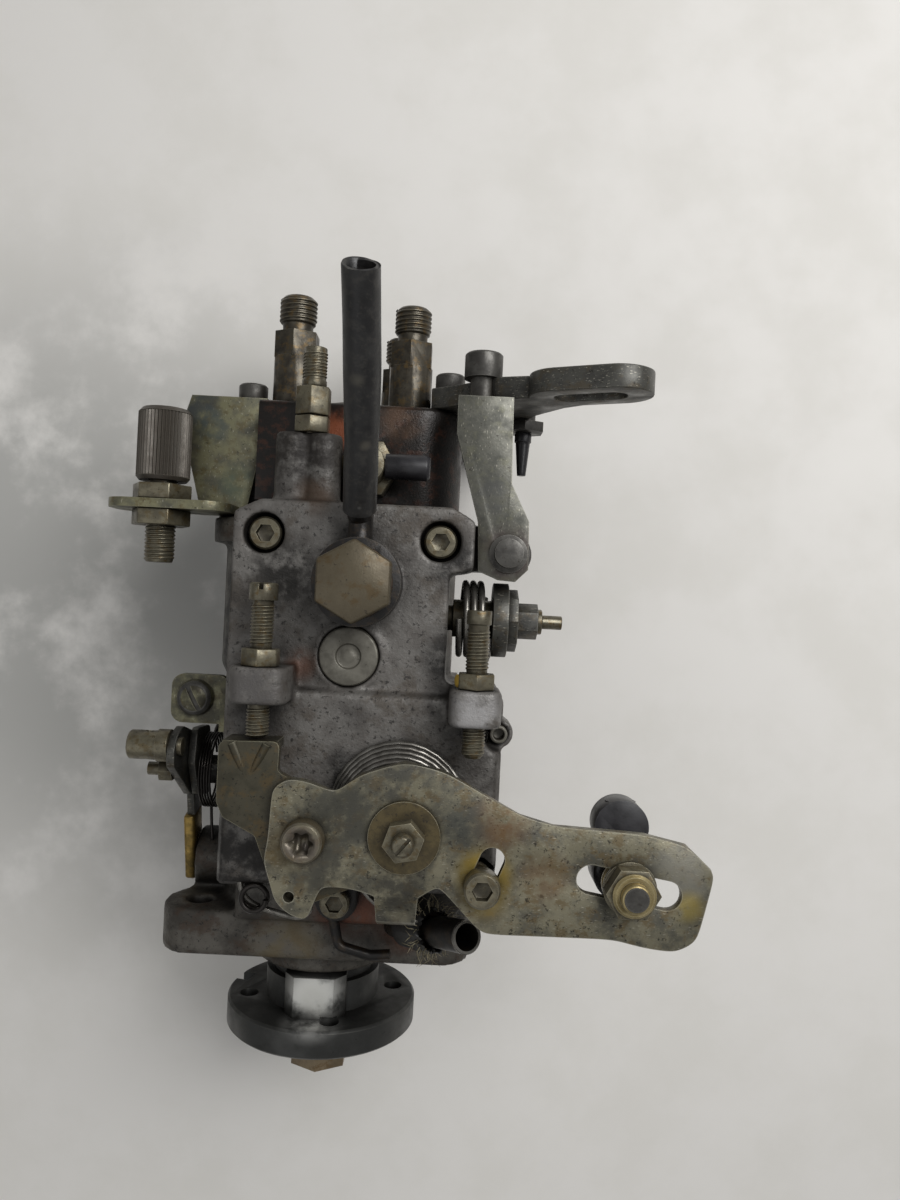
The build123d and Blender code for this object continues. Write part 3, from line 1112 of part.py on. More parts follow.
pieces = {
    "pump_housing": pump_housing, "governor_cover": governor_cover, "cover_screws": cover_screws,
    "distributor_head": distributor_head, "housing_screws": housing_screws,
    "housing_plugs": housing_plugs, "delivery_valve_holders": delivery_valve_holders,
    "delivery_valves": delivery_valves, "full_load_screw": full_load_screw, "locknuts": locknuts,
    "idle_screw": idle_screw, "max_speed_screw": max_speed_screw, "banjo_washers": banjo_washers,
    "banjo_bolt": banjo_bolt, "banjo_pipe": banjo_pipe, "return_hose": return_hose,
    "stop_solenoid": stop_solenoid, "terminal_boots": terminal_boots, "cable_bracket": cable_bracket,
    "cable_adjuster": cable_adjuster, "stay_strap": stay_strap,
    "rear_support_plate": rear_support_plate, "bracket_screws": bracket_screws,
    "side_plate": side_plate, "inlet_pipe": inlet_pipe, "inlet_hose": inlet_hose,
    "vent_pipe": vent_pipe, "timing_covers": timing_covers, "timing_piston": timing_piston,
    "timing_spring": timing_spring, "drive_shaft": drive_shaft, "drive_hub": drive_hub,
    "hub_nut": hub_nut, "shaft_seal": shaft_seal, "feed_pump_ring": feed_pump_ring,
    "feed_pump_rotor": feed_pump_rotor, "drive_gear": drive_gear, "roller_ring": roller_ring,
    "cam_plate": cam_plate, "plunger": plunger, "plunger_springs": plunger_springs,
    "governor_shaft": governor_shaft, "flyweight_cage": flyweight_cage, "flyweights": flyweights,
    "governor_sleeve": governor_sleeve, "governor_lever": governor_lever,
    "control_spool": control_spool, "throttle_shaft": throttle_shaft, "stop_plate": stop_plate,
    "throttle_lever": throttle_lever, "lever_fasteners": lever_fasteners, "ball_stud": ball_stud,
    "ball_socket": ball_socket, "throttle_spring": throttle_spring,
    "cold_start_lever": cold_start_lever, "cable_pin": cable_pin,
    "cold_start_spring": cold_start_spring, "stop_shaft": stop_shaft, "stop_lever": stop_lever,
    "stop_spring": stop_spring,
}
for name, piece in pieces.items():
    finish(piece, name)
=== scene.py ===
"""Dresses the diesel injection pump: worn castings, passivated levers, threads, hoses, dirt, painted shade and
painted edge highlights.
"""

from __future__ import annotations

import json
import logging
import math
import random
from dataclasses import dataclass
from enum import Enum
from typing import Any, Sequence

import bmesh
import bpy
from mathutils import Matrix, Vector

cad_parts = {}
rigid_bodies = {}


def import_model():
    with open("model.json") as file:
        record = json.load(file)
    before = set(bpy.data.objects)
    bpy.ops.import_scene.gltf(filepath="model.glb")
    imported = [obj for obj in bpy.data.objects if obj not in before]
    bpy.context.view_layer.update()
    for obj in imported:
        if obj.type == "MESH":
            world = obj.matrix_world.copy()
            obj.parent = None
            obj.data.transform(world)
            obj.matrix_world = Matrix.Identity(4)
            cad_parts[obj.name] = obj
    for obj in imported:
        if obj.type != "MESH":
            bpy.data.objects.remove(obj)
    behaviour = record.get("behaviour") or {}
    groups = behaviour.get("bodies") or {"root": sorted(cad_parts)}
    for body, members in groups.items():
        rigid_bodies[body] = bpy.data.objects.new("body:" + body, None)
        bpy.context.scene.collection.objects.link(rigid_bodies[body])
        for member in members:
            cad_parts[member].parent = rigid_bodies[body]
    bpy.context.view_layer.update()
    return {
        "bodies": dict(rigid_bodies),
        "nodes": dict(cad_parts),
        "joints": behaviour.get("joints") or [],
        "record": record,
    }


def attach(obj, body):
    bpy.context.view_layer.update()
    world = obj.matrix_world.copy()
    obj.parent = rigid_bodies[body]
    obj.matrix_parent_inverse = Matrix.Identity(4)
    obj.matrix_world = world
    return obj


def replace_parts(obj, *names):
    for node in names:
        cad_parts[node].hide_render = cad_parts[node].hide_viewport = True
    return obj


log = logging.getLogger("injection_pump")

MM = 0.001
Point = tuple[float, float, float]


def linear(hex_colour: str) -> tuple[float, float, float, float]:
    """Turn an sRGB hex colour into linear red, green, blue and alpha.

    Args:
        hex_colour: Six hex digits, with or without a leading hash.

    Returns:
        The four linear channels.
    """
    digits = hex_colour.lstrip("#")
    channels = [int(digits[i : i + 2], 16) / 255 for i in (0, 2, 4)]
    red, green, blue = (c / 12.92 if c <= 0.04045 else ((c + 0.055) / 1.055) ** 2.4 for c in channels)
    return red, green, blue, 1.0


def per_mm(size_mm: float) -> float:
    """Scale of a pattern on Object coordinates whose features are size_mm wide."""
    return 1.0 / (size_mm * MM)


class Edge(Enum):
    """How a copied solid's edges are finished."""

    SHARP = "sharp"
    BROKEN = "broken"
    CAST = "cast"


@dataclass(frozen=True)
class Stain:
    """A soft round patch of another colour on a finish, placed in millimetres."""

    centre: Point
    radius: float
    colour: str
    strength: float = 0.8


@dataclass(frozen=True)
class Finish:
    """A real surface: its colours, its pattern sizes in millimetres and its gloss.

    Attributes:
        name: Common name of the material and how its surface was made.
        base: Main colour.
        mottle: Colour that clouds the base.
        grime_and_shade: Colour of the dirt in specks, and of the dirt and painted shade in corners and on what
            lies low.
        metallic: Share of metal in the surface.
        roughness: Mean roughness.
        mottle_mm: Width of the clouds.
        grain_mm: Width of the grain.
        bump_mm: Depth of the grain.
        speckle: Share of the surface taken by dark specks.
        corner_dirt_and_shade: Strength of the dirt and painted shade in corners.
        streak: Direction along which scratches run, or None.
        stains: Patches of another colour.
        patch: Colour of broken patches of rust, oil or worn plating, or None.
        patch_mm: Width of those patches.
        rubbed_and_glint: Colour of edges worn bright and of painted edge highlights, or None.
        rubbed_and_glint_mm: Width of those edges.
        corner_dirt_and_shade_mm: Reach of the dirt and painted shade in corners.
        dirt_and_shade_below_mm: Height under which dirt and painted shade darken everything, or None.
    """

    name: str
    base: str
    mottle: str
    # Dirt colour; in corners and on low parts it also paints shade.
    grime_and_shade: str = "#2b261f"
    metallic: float = 0.0
    roughness: float = 0.55
    mottle_mm: float = 9.0
    grain_mm: float = 0.7
    bump_mm: float = 0.08
    speckle: float = 0.0
    corner_dirt_and_shade: float = 0.6
    streak: Point | None = None
    stains: tuple[Stain, ...] = ()
    patch: str | None = None
    patch_mm: float = 6.0
    rubbed_and_glint: str | None = None
    rubbed_and_glint_mm: float = 0.5
    corner_dirt_and_shade_mm: float = 7.0
    dirt_and_shade_below_mm: float | None = None

    def material(self) -> bpy.types.Material:
        """Build the finish as a node material.

        Returns:
            The finished material.
        """
        return FinishGraph(self).material


class FinishGraph:
    """Builds one finish as a tree of shader nodes on Object coordinates."""

    def __init__(self, finish: Finish) -> None:
        """Build the whole tree.

        Args:
            finish: The surface to build.
        """
        self.finish = finish
        self.material = bpy.data.materials.new(finish.name)
        self.material.use_nodes = True
        self.tree = self.material.node_tree
        self.tree.nodes.clear()
        self.place = self.add("ShaderNodeTexCoord").outputs["Object"]
        self.clouds = self.noise(finish.mottle_mm, detail=6.0, roughness=0.62)
        self.grain = self.noise(finish.grain_mm, detail=3.0, roughness=0.6)
        colour = self.scratched(self.speckled(self.patched(self.clouded())))
        colour = self.soiled_and_shaded(self.sunk_dirt_and_shade(self.worn(self.stained(colour))))
        self.shade(colour)

    def add(
        self,
        kind: str,
        links: dict[str | int, Any] | None = None,
        values: dict[str | int, Any] | None = None,
        **settings: Any,
    ) -> bpy.types.Node:
        """Add one node with its settings and links.

        Args:
            kind: Node type.
            links: Input socket to the output that feeds it.
            values: Input socket to its fixed value.
            settings: Properties of the node itself.

        Returns:
            The new node.
        """
        node = self.tree.nodes.new(kind)
        for key, value in settings.items():
            setattr(node, key, value)
        for socket, value in (values or {}).items():
            node.inputs[socket].default_value = value
        for socket, output in (links or {}).items():
            self.tree.links.new(output, node.inputs[socket])
        return node

    def noise(self, size_mm: float, detail: float, roughness: float, stretch: Point = (1, 1, 1)) -> Any:
        """Noise whose features are size_mm wide.

        Args:
            size_mm: Width of a feature.
            detail: Number of octaves.
            roughness: Strength of the finer octaves.
            stretch: Factor of the coordinates along each axis.

        Returns:
            The noise value's socket.
        """
        mapped = self.add("ShaderNodeMapping", {"Vector": self.place}, {"Scale": stretch})
        return self.add(
            "ShaderNodeTexNoise",
            {"Vector": mapped.outputs["Vector"]},
            {"Scale": per_mm(size_mm), "Detail": detail, "Roughness": roughness},
        ).outputs["Fac"]

    def ramp(self, source: Any, low: float, high: float, to_low: float = 0.0, to_high: float = 1.0) -> Any:
        """Map a value from low..high onto to_low..to_high, held at both ends.

        Args:
            source: Socket to map.
            low: Source value at the start.
            high: Source value at the end.
            to_low: Result at the start.
            to_high: Result at the end.

        Returns:
            The mapped socket.
        """
        return self.add(
            "ShaderNodeMapRange",
            {"Value": source},
            {"From Min": low, "From Max": high, "To Min": to_low, "To Max": to_high},
            interpolation_type="SMOOTHSTEP",
        ).outputs["Result"]

    def mix(self, factor: Any, first: Any, second: str) -> Any:
        """Mix a colour socket towards a hex colour by a factor socket.

        Args:
            factor: Socket of the share of the second colour.
            first: First colour, as a socket or a hex string.
            second: Second colour, as a hex string.

        Returns:
            The mixed colour's socket.
        """
        node = self.add("ShaderNodeMix", {0: factor}, {7: linear(second)}, data_type="RGBA")
        if isinstance(first, str):
            node.inputs[6].default_value = linear(first)
        else:
            self.tree.links.new(first, node.inputs[6])
        return node.outputs[2]

    def product(self, first: Any, second: Any) -> Any:
        """Multiply two values, each a socket or a number."""
        node = self.add("ShaderNodeMath", operation="MULTIPLY")
        for slot, value in enumerate((first, second)):
            if isinstance(value, (int, float)):
                node.inputs[slot].default_value = value
            else:
                self.tree.links.new(value, node.inputs[slot])
        return node.outputs[0]

    def clouded(self) -> Any:
        """Base colour clouded by the mottle colour."""
        return self.mix(self.ramp(self.clouds, 0.38, 0.66), self.finish.base, self.finish.mottle)

    def patched(self, colour: Any) -> Any:
        """Ragged patches of rust, oil or worn plating over the colour."""
        if self.finish.patch is None:
            return colour
        patches = self.noise(self.finish.patch_mm, detail=8.0, roughness=0.7, stretch=(1.0, 1.15, 0.9))
        return self.mix(self.ramp(patches, 0.5, 0.62, 0.0, 0.75), colour, self.finish.patch)

    def worn(self, colour: Any) -> Any:
        """Brighter metal on outer and hollow edges alike: wear from handling and a painted highlight."""
        if self.finish.rubbed_and_glint is None:
            return colour
        # The bevel normal finds outer and hollow edges alike; the brightening is wear and a painted edge
        # highlight.
        rounded = self.add("ShaderNodeBevel", values={"Radius": self.finish.rubbed_and_glint_mm * MM}, samples=4)
        flat = self.add("ShaderNodeNewGeometry")
        links = {0: rounded.outputs["Normal"], 1: flat.outputs["Normal"]}
        facing = self.add("ShaderNodeVectorMath", links, operation="DOT_PRODUCT").outputs["Value"]
        edge = self.ramp(facing, 0.99, 0.9, 0.0, 0.8)
        broken = self.product(edge, self.ramp(self.clouds, 0.35, 0.6, 0.3, 1.0))
        return self.mix(broken, colour, self.finish.rubbed_and_glint)

    def speckled(self, colour: Any) -> Any:
        """Dark specks of dirt over the colour."""
        if not self.finish.speckle:
            return colour
        specks = self.noise(1.6, detail=4.0, roughness=0.8)
        edge = 0.68 - 0.16 * self.finish.speckle
        return self.mix(self.ramp(specks, edge, edge + 0.07, 0.0, 0.85), colour, self.finish.grime_and_shade)

    def scratched(self, colour: Any) -> Any:
        """Pale scratches and wear that run one way."""
        if self.finish.streak is None:
            return colour
        lines = self.noise(0.5, detail=2.0, roughness=0.5, stretch=self.finish.streak)
        return self.mix(self.ramp(lines, 0.62, 0.75, 0.0, 0.55), colour, "#b9b4a4")

    def stained(self, colour: Any) -> Any:
        """Soft patches at their places, broken up by the clouds."""
        for stain in self.finish.stains:
            centre = tuple(v * MM for v in stain.centre)
            away = self.add(
                "ShaderNodeVectorMath", {0: self.place}, {1: centre}, operation="DISTANCE"
            ).outputs["Value"]
            near = self.ramp(away, stain.radius * MM, 0.25 * stain.radius * MM, 0.0, stain.strength)
            broken = self.product(near, self.ramp(self.clouds, 0.3, 0.55))
            colour = self.mix(broken, colour, stain.colour)
        return colour

    def sunk_dirt_and_shade(self, colour: Any) -> Any:
        """Dirt and painted shade on everything that lies lower than a height."""
        if self.finish.dirt_and_shade_below_mm is None:
            return colour
        # Everything below the height is darkened: dirt and painted shade.
        height = self.add("ShaderNodeSeparateXYZ", {0: self.place}).outputs["Z"]
        deep = self.ramp(height, self.finish.dirt_and_shade_below_mm * MM, (self.finish.dirt_and_shade_below_mm - 9) * MM, 0.0, 0.88)
        return self.mix(deep, colour, self.finish.grime_and_shade)

    def soiled_and_shaded(self, colour: Any) -> Any:
        """Dirt and painted shade in corners, from ambient occlusion."""
        if not self.finish.corner_dirt_and_shade:
            return colour
        reach = {"Distance": self.finish.corner_dirt_and_shade_mm * MM}
        # Ambient occlusion darkens the corners with the dark colour: dirt and painted shade.
        corner = self.add("ShaderNodeAmbientOcclusion", values=reach, samples=8).outputs["AO"]
        closed = self.ramp(corner, 0.92, 0.35, 0.0, self.finish.corner_dirt_and_shade)
        patchy = self.product(closed, self.ramp(self.clouds, 0.2, 0.6, 0.55, 1.0))
        return self.mix(patchy, colour, self.finish.grime_and_shade)

    def shade(self, colour: Any) -> None:
        """Join colour, roughness and bump in the surface shader.

        Args:
            colour: The finished colour's socket.
        """
        finish = self.finish
        smoothest = max(finish.roughness - 0.12, 0.05)
        rough = self.ramp(self.clouds, 0.25, 0.75, smoothest, finish.roughness + 0.14)
        bump = self.add(
            "ShaderNodeBump",
            {"Height": self.grain},
            {"Strength": 0.75, "Distance": finish.bump_mm * MM},
        )
        shader = self.add(
            "ShaderNodeBsdfPrincipled",
            {"Base Color": colour, "Roughness": rough, "Normal": bump.outputs["Normal"]},
            {"Metallic": finish.metallic},
        )
        self.add("ShaderNodeOutputMaterial", {"Surface": shader.outputs["BSDF"]})


# Sand-cast aluminium: matt grey with a coarse grain, dark dirt and painted shade in the corners and brown oil
# stains.
CAST_COVER = Finish(
    "weathered_cast_aluminium",
    base="#65625e",
    mottle="#54504c",
    grime_and_shade="#1a1714",
    metallic=0.3,
    roughness=0.5,
    mottle_mm=7.0,
    grain_mm=0.9,
    bump_mm=0.22,
    speckle=0.75,
    corner_dirt_and_shade=1.0,
    patch="#474038",
    patch_mm=13.0,
    rubbed_and_glint="#8f8c88",
    rubbed_and_glint_mm=0.7,
    corner_dirt_and_shade_mm=13.0,
    dirt_and_shade_below_mm=60.5,
    stains=(
        Stain((-20, 42, 62), 25, "#120f0c", 1.0),
        Stain((-10, 32, 64), 22, "#17120e", 1.0),
        Stain((-5, 30, 64), 8, "#53321f", 0.8),
        Stain((11, 71, 66), 9, "#0c0a08", 0.97),
        Stain((54, 72, 66), 12, "#2a2622", 0.7),
        # Dark patch on the cover's left: dirt and painted shade.
        Stain((-9.5, 128, 66), 16, "#191612", 1.0),
        Stain((-22, 122, 64), 11, "#2a2622", 0.6),
        Stain((41, 133, 66), 12, "#15120f", 0.95),
        # Dark patch in the groove beside the right lug: dirt and painted shade.
        Stain((40, 104, 66), 10, "#100e0b", 1.0),
        Stain((40, 91, 66), 8, "#171411", 0.95),
        Stain((43, 110, 63), 10, "#221f1b", 0.8),
        Stain((-3.4, 100.6, 67), 7, "#5e3a26", 0.75),
        Stain((-14, 85, 66), 9, "#2a2520", 0.7),
        Stain((12, 86, 66), 10, "#262320", 0.5),
        Stain((-6, 165, 60), 19, "#211c18", 1.0),
        Stain((-2, 151, 62), 9, "#4e3a28", 0.7),
        Stain((13.5, 126, 66), 17, "#2c251d", 0.85),
        Stain((11, 104, 67), 12, "#3c372f", 0.7),
        # Pale patch on the right lug: painted sheen.
        Stain((49, 90, 86), 11, "#918f8e", 0.9),
        # Darker patch on the left lug: painted shade.
        Stain((-12.6, 95, 86), 12, "#4e4b49", 0.95),
        Stain((30, 74, 69), 9, "#1e1a17", 0.8),
    ),
)
CAST_HOUSING = Finish(
    "oily_cast_aluminium",
    base="#524e47",
    mottle="#37332d",
    grime_and_shade="#100e0b",
    metallic=0.25,
    roughness=0.5,
    grain_mm=1.0,
    bump_mm=0.25,
    speckle=0.7,
    corner_dirt_and_shade=1.0,
    patch="#3a2c20",
    patch_mm=8.0,
    rubbed_and_glint="#7d786e",
    rubbed_and_glint_mm=0.7,
    corner_dirt_and_shade_mm=14.0,
    stains=(
        Stain((12, 20, 40), 15, "#71402a", 0.9),
        Stain((30, 14, 38), 13, "#6b3d22", 0.9),
        Stain((-20, 32, 40), 17, "#14110d", 0.95),
        # Near-black patch on the housing's left side: oil and painted shade.
        Stain((-32, 112, 20), 46, "#12100d", 0.97),
        Stain((-43, 2, 16), 20, "#5a574b", 0.7),
        Stain((-8, 4, 34), 16, "#6f6347", 0.5),
    ),
)
# Cast iron wetted by fuel: almost black-brown with a dull shine.
HEAD_IRON = Finish(
    "fuel_wet_cast_iron",
    base="#18120e",
    mottle="#130f0b",
    grime_and_shade="#0a0806",
    metallic=0.35,
    roughness=0.4,
    bump_mm=0.15,
    speckle=0.5,
    corner_dirt_and_shade=1.0,
    patch="#3d2316",
    patch_mm=5.0,
    stains=(Stain((1.8, 176, 41), 9, "#7a3f22", 0.85), Stain((22, 180, 41), 10, "#4c3420", 0.7)),
)
# Phosphated steel with varnished fuel: dark with a golden-brown film.
VALVE_STEEL = Finish(
    "phosphated_steel_with_fuel_varnish",
    base="#4b463c",
    mottle="#302c25",
    grime_and_shade="#17130e",
    metallic=0.6,
    roughness=0.38,
    mottle_mm=5.0,
    bump_mm=0.05,
    speckle=0.4,
    patch="#5c4a2c",
    patch_mm=3.5,
    rubbed_and_glint="#8d8672",
    rubbed_and_glint_mm=0.35,
)
# Yellow-passivated zinc plate worn to an olive tan.
ZINC_SCREW = Finish(
    "yellow_passivated_zinc_plate",
    base="#706a58",
    mottle="#524d40",
    grime_and_shade="#1c1812",
    metallic=0.55,
    roughness=0.36,
    mottle_mm=4.0,
    bump_mm=0.04,
    speckle=0.4,
    patch="#574a30",
    patch_mm=3.0,
    rubbed_and_glint="#a39c86",
    rubbed_and_glint_mm=0.35,
    stains=(Stain((57.5, 137, 64), 7, "#6a5552", 0.8), Stain((3.4, 54.5, 91), 8, "#69605a", 0.7)),
)
BRIGHT_BOLT = Finish(
    "weathered_zinc_bolt",
    base="#4e4c48",
    mottle="#383633",
    metallic=0.5,
    roughness=0.42,
    mottle_mm=4.0,
    bump_mm=0.05,
    speckle=0.5,
    rubbed_and_glint="#807d76",
    rubbed_and_glint_mm=0.35,
)
BANJO_TAN = Finish(
    "tan_passivated_steel",
    base="#574f3f",
    mottle="#4f4738",
    grime_and_shade="#1d1812",
    metallic=0.5,
    roughness=0.38,
    mottle_mm=7.0,
    bump_mm=0.05,
    speckle=0.45,
    patch="#4f4028",
    patch_mm=5.0,
    rubbed_and_glint="#b5ad94",
    rubbed_and_glint_mm=0.5,
)
PLUG_STEEL = Finish(
    "dull_plated_steel_plug",
    base="#67645b",
    mottle="#524f47",
    metallic=0.4,
    roughness=0.45,
    mottle_mm=5.0,
    bump_mm=0.06,
    speckle=0.4,
    rubbed_and_glint="#807c72",
)
BLACKED_STEEL = Finish(
    "blackened_steel",
    "#1f1c1a",
    "#141211",
    grime_and_shade="#080706",
    metallic=0.45,
    roughness=0.36,
    bump_mm=0.06,
    patch="#33291d",
    patch_mm=4.0,
    rubbed_and_glint="#4b463f",
)
COPPER = Finish("dull_copper", "#4d3a2b", "#33271d", metallic=0.6, roughness=0.45, bump_mm=0.03)
# Nitrile rubber: near black, dusty and scuffed along its length.
HOSE_RUBBER = Finish(
    "scuffed_nitrile_rubber",
    base="#191818",
    mottle="#232221",
    grime_and_shade="#0b0a0a",
    roughness=0.42,
    mottle_mm=7.0,
    bump_mm=0.06,
    patch="#2e2c29",
    patch_mm=2.6,
    stains=(
        Stain((13.6, 147.5, 81.3), 1.5, "#b3b1ab", 1.0),
        Stain((14.2, 178, 104), 3.0, "#565248", 0.7),
        Stain((15.4, 163, 93), 2.4, "#4a463e", 0.8),
    ),
)
BLACK_MOULDING = Finish(
    "moulded_black_nylon",
    "#1c1b1d",
    "#28272a",
    grime_and_shade="#0b0a0b",
    roughness=0.36,
    bump_mm=0.03,
    corner_dirt_and_shade=0.4,
    rubbed_and_glint="#3f3e40",
)
# Olive-chromated sheet steel: mottled green-grey and yellow with scratches.
OLIVE_SHEET = Finish(
    "olive_chromated_sheet_steel",
    base="#767359",
    mottle="#504f44",
    metallic=0.45,
    roughness=0.4,
    mottle_mm=7.0,
    grain_mm=0.5,
    bump_mm=0.05,
    speckle=0.5,
    streak=(0.9, 0.35, 1.0),
    patch="#5c5236",
    patch_mm=4.0,
    rubbed_and_glint="#97937e",
    stains=(
        Stain((-48.4, 184, 27), 11, "#3b3f40", 0.8),
        Stain((-44, 177, 27), 9, "#4a5452", 0.6),
        Stain((-34, 158, 27), 9, "#4f5a4a", 0.6),
        Stain((-40, 86, 40), 14, "#2e2b22", 0.9),
    ),
)
LEVER_SHEET = Finish(
    "zinc_plated_lever_steel",
    base="#77725f",
    mottle="#4f4d44",
    grime_and_shade="#1a1712",
    metallic=0.5,
    roughness=0.4,
    mottle_mm=6.0,
    grain_mm=0.5,
    bump_mm=0.05,
    speckle=0.7,
    streak=(0.35, 1.5, 1.0),
    patch="#5e5036",
    patch_mm=5.0,
    rubbed_and_glint="#a6a292",
    rubbed_and_glint_mm=0.6,
    stains=(
        Stain((53.5, 47, 88), 10, "#9a8336", 0.95),
        Stain((54, 41, 88), 9, "#7c6a36", 0.7),
        Stain((14, 62, 88), 17, "#3b3a33", 0.8),
        Stain((30.6, 72, 88), 13, "#3d3c37", 0.75),
        Stain((10, 46, 88), 14, "#403e36", 0.75),
        Stain((30, 42, 88), 11, "#33312b", 0.8),
        Stain((57, 61, 88), 11, "#6b4f33", 0.6),
        Stain((48, 60, 88), 9, "#454641", 0.7),
        Stain((70, 47, 88), 10, "#6d5638", 0.5),
        Stain((107, 50, 88), 12, "#8c897e", 0.6),
        Stain((110, 41, 88), 6, "#87783f", 0.75),
        Stain((-1, 52, 88), 9, "#5c4f33", 0.7),
        Stain((31, 56.5, 88), 13, "#57503a", 0.8),
    ),
)
STOP_SHEET = Finish(
    "oily_zinc_plated_sheet",
    base="#423e31",
    mottle="#363327",
    grime_and_shade="#15120d",
    metallic=0.5,
    roughness=0.4,
    mottle_mm=6.0,
    bump_mm=0.05,
    speckle=0.6,
    patch="#4e4129",
    rubbed_and_glint="#8f8b76",
)
GREY_PLATE = Finish(
    "mottled_zinc_sheet_steel",
    base="#4c4b46",
    mottle="#383734",
    grime_and_shade="#171410",
    metallic=0.45,
    roughness=0.42,
    mottle_mm=6.0,
    bump_mm=0.06,
    speckle=0.6,
    streak=(0.3, 1.4, 1.0),
    patch="#4b4335",
    rubbed_and_glint="#8a8880",
    rubbed_and_glint_mm=0.8,
)
STRAP_SHEET = Finish(
    "dull_zinc_strap",
    base="#5c5b53",
    mottle="#42423c",
    metallic=0.45,
    roughness=0.4,
    mottle_mm=6.0,
    bump_mm=0.05,
    speckle=0.5,
    streak=(1.2, 0.3, 1.0),
    patch="#5b5a4c",
    rubbed_and_glint="#8f8d80",
    stains=(Stain((57.5, 137, 60), 11, "#4a3c3c", 0.8), Stain((52, 154, 60), 9, "#4a4a48", 0.6)),
)
KNURLED = Finish(
    "knurled_brown_zinc",
    base="#4f4a43",
    mottle="#464039",
    grime_and_shade="#16130f",
    metallic=0.45,
    roughness=0.42,
    mottle_mm=5.0,
    bump_mm=0.05,
    speckle=0.4,
    rubbed_and_glint="#837c70",
    rubbed_and_glint_mm=0.25,
)
TURNED_STEEL = Finish(
    "turned_steel",
    base="#6b6657",
    mottle="#4b463a",
    grime_and_shade="#1a160f",
    metallic=0.65,
    roughness=0.34,
    mottle_mm=4.0,
    grain_mm=0.35,
    bump_mm=0.03,
    speckle=0.35,
    patch="#5c4a2b",
    patch_mm=2.5,
    rubbed_and_glint="#9c9681",
    rubbed_and_glint_mm=0.25,
)
SPRING_WIRE = Finish(
    "drawn_spring_wire", "#7f7c76", "#5a5752", metallic=0.8, roughness=0.28, mottle_mm=4.0, bump_mm=0.02
)
DARK_WIRE = Finish("oiled_spring_wire", "#36322f", "#24211f", metallic=0.7, roughness=0.32, bump_mm=0.02)
# Black-oxide steel: smooth and dark, with a soft broad shine.
HUB_STEEL = Finish(
    "black_oxide_steel",
    base="#3a3a38",
    mottle="#2d2d2b",
    grime_and_shade="#0e0d0b",
    metallic=0.5,
    roughness=0.4,
    mottle_mm=12.0,
    bump_mm=0.04,
    speckle=0.25,
    corner_dirt_and_shade=0.9,
    rubbed_and_glint="#57564f",
    stains=(Stain((0, -17, 27), 15, "#d0cfca", 1.0), Stain((0, -17, 27), 9, "#c6c5bf", 1.0)),
)
NUT_TAN = Finish(
    "tan_plated_nut", "#8a7a61", "#6c5e49", metallic=0.4, roughness=0.42, bump_mm=0.04, speckle=0.4,
    patch="#6b5334",
)
BALL_STEEL = Finish(
    "gold_passivated_steel",
    "#a3946c",
    "#7f7049",
    metallic=0.65,
    roughness=0.32,
    mottle_mm=5.0,
    bump_mm=0.03,
    speckle=0.25,
    rubbed_and_glint="#d2c9a8",
    rubbed_and_glint_mm=0.4,
)
WASHER_GOLD = Finish(
    "olive_gold_washer", "#564b31", "#3f3724", metallic=0.5, roughness=0.42, mottle_mm=5.0, bump_mm=0.04,
    speckle=0.6, patch="#3c3524", patch_mm=5.0,
)
BRASS_TIP = Finish(
    "worn_brass", "#9a8045", "#6d5c33", metallic=0.75, roughness=0.34, mottle_mm=4.0, bump_mm=0.03,
    speckle=0.4,
)
# Ground and oiled inner steel.
INNER_STEEL = Finish("ground_oiled_steel", "#a5a39d", "#8b8983", metallic=0.85, roughness=0.3, bump_mm=0.01)
TORN_CORD = Finish("frayed_cotton_cord", "#6f674f", "#a59b80", roughness=0.8, mottle_mm=2.0, bump_mm=0.05)
YELLOW_PAINT = Finish("yellow_marking_paint", "#b8973a", "#94782c", roughness=0.5, bump_mm=0.05, speckle=0.5)
BENCH = Finish(
    "pale_laminate_bench",
    "#dbd8d3",
    "#d6d3cd",
    roughness=0.7,
    mottle_mm=60.0,
    bump_mm=0.01,
    corner_dirt_and_shade=0.0,
    # Darker patch on the bench left of the pump: painted shadow.
    stains=(Stain((-130, 120, -59), 190, "#a3a29e", 0.9),),
)


@dataclass(frozen=True)
class Station:
    """One ring of a swept tube, in millimetres."""

    centre: Point
    direction: Point
    radius: float

    def placing(self) -> Matrix:
        """Matrix that puts a unit circle on the XY plane at this station."""
        turn = Vector(self.direction).to_track_quat("Z", "Y").to_matrix().to_4x4()
        return at(self.centre) @ turn @ Matrix.Diagonal((*[self.radius * MM] * 3, 1.0))


def at(point: Point) -> Matrix:
    """Matrix that puts the origin at a point in millimetres."""
    return Matrix.Translation(Vector(point) * MM)


def along(origin: Point, direction: Point) -> Matrix:
    """Matrix that puts local Z on a direction and the origin at a point in millimetres."""
    return at(origin) @ Vector(direction).to_track_quat("Z", "Y").to_matrix().to_4x4()


def straight(origin: Point, direction: Point, rings: Sequence[tuple[float, float]]) -> list[Station]:
    """Stations on a straight line.

    Args:
        origin: Start of the line, in millimetres.
        direction: Its unit direction.
        rings: Distance from the start and radius of each ring, in millimetres.

    Returns:
        The stations in order.
    """
    start, way = Vector(origin), Vector(direction)
    return [Station(tuple(start + way * distance), tuple(way), radius) for distance, radius in rings]


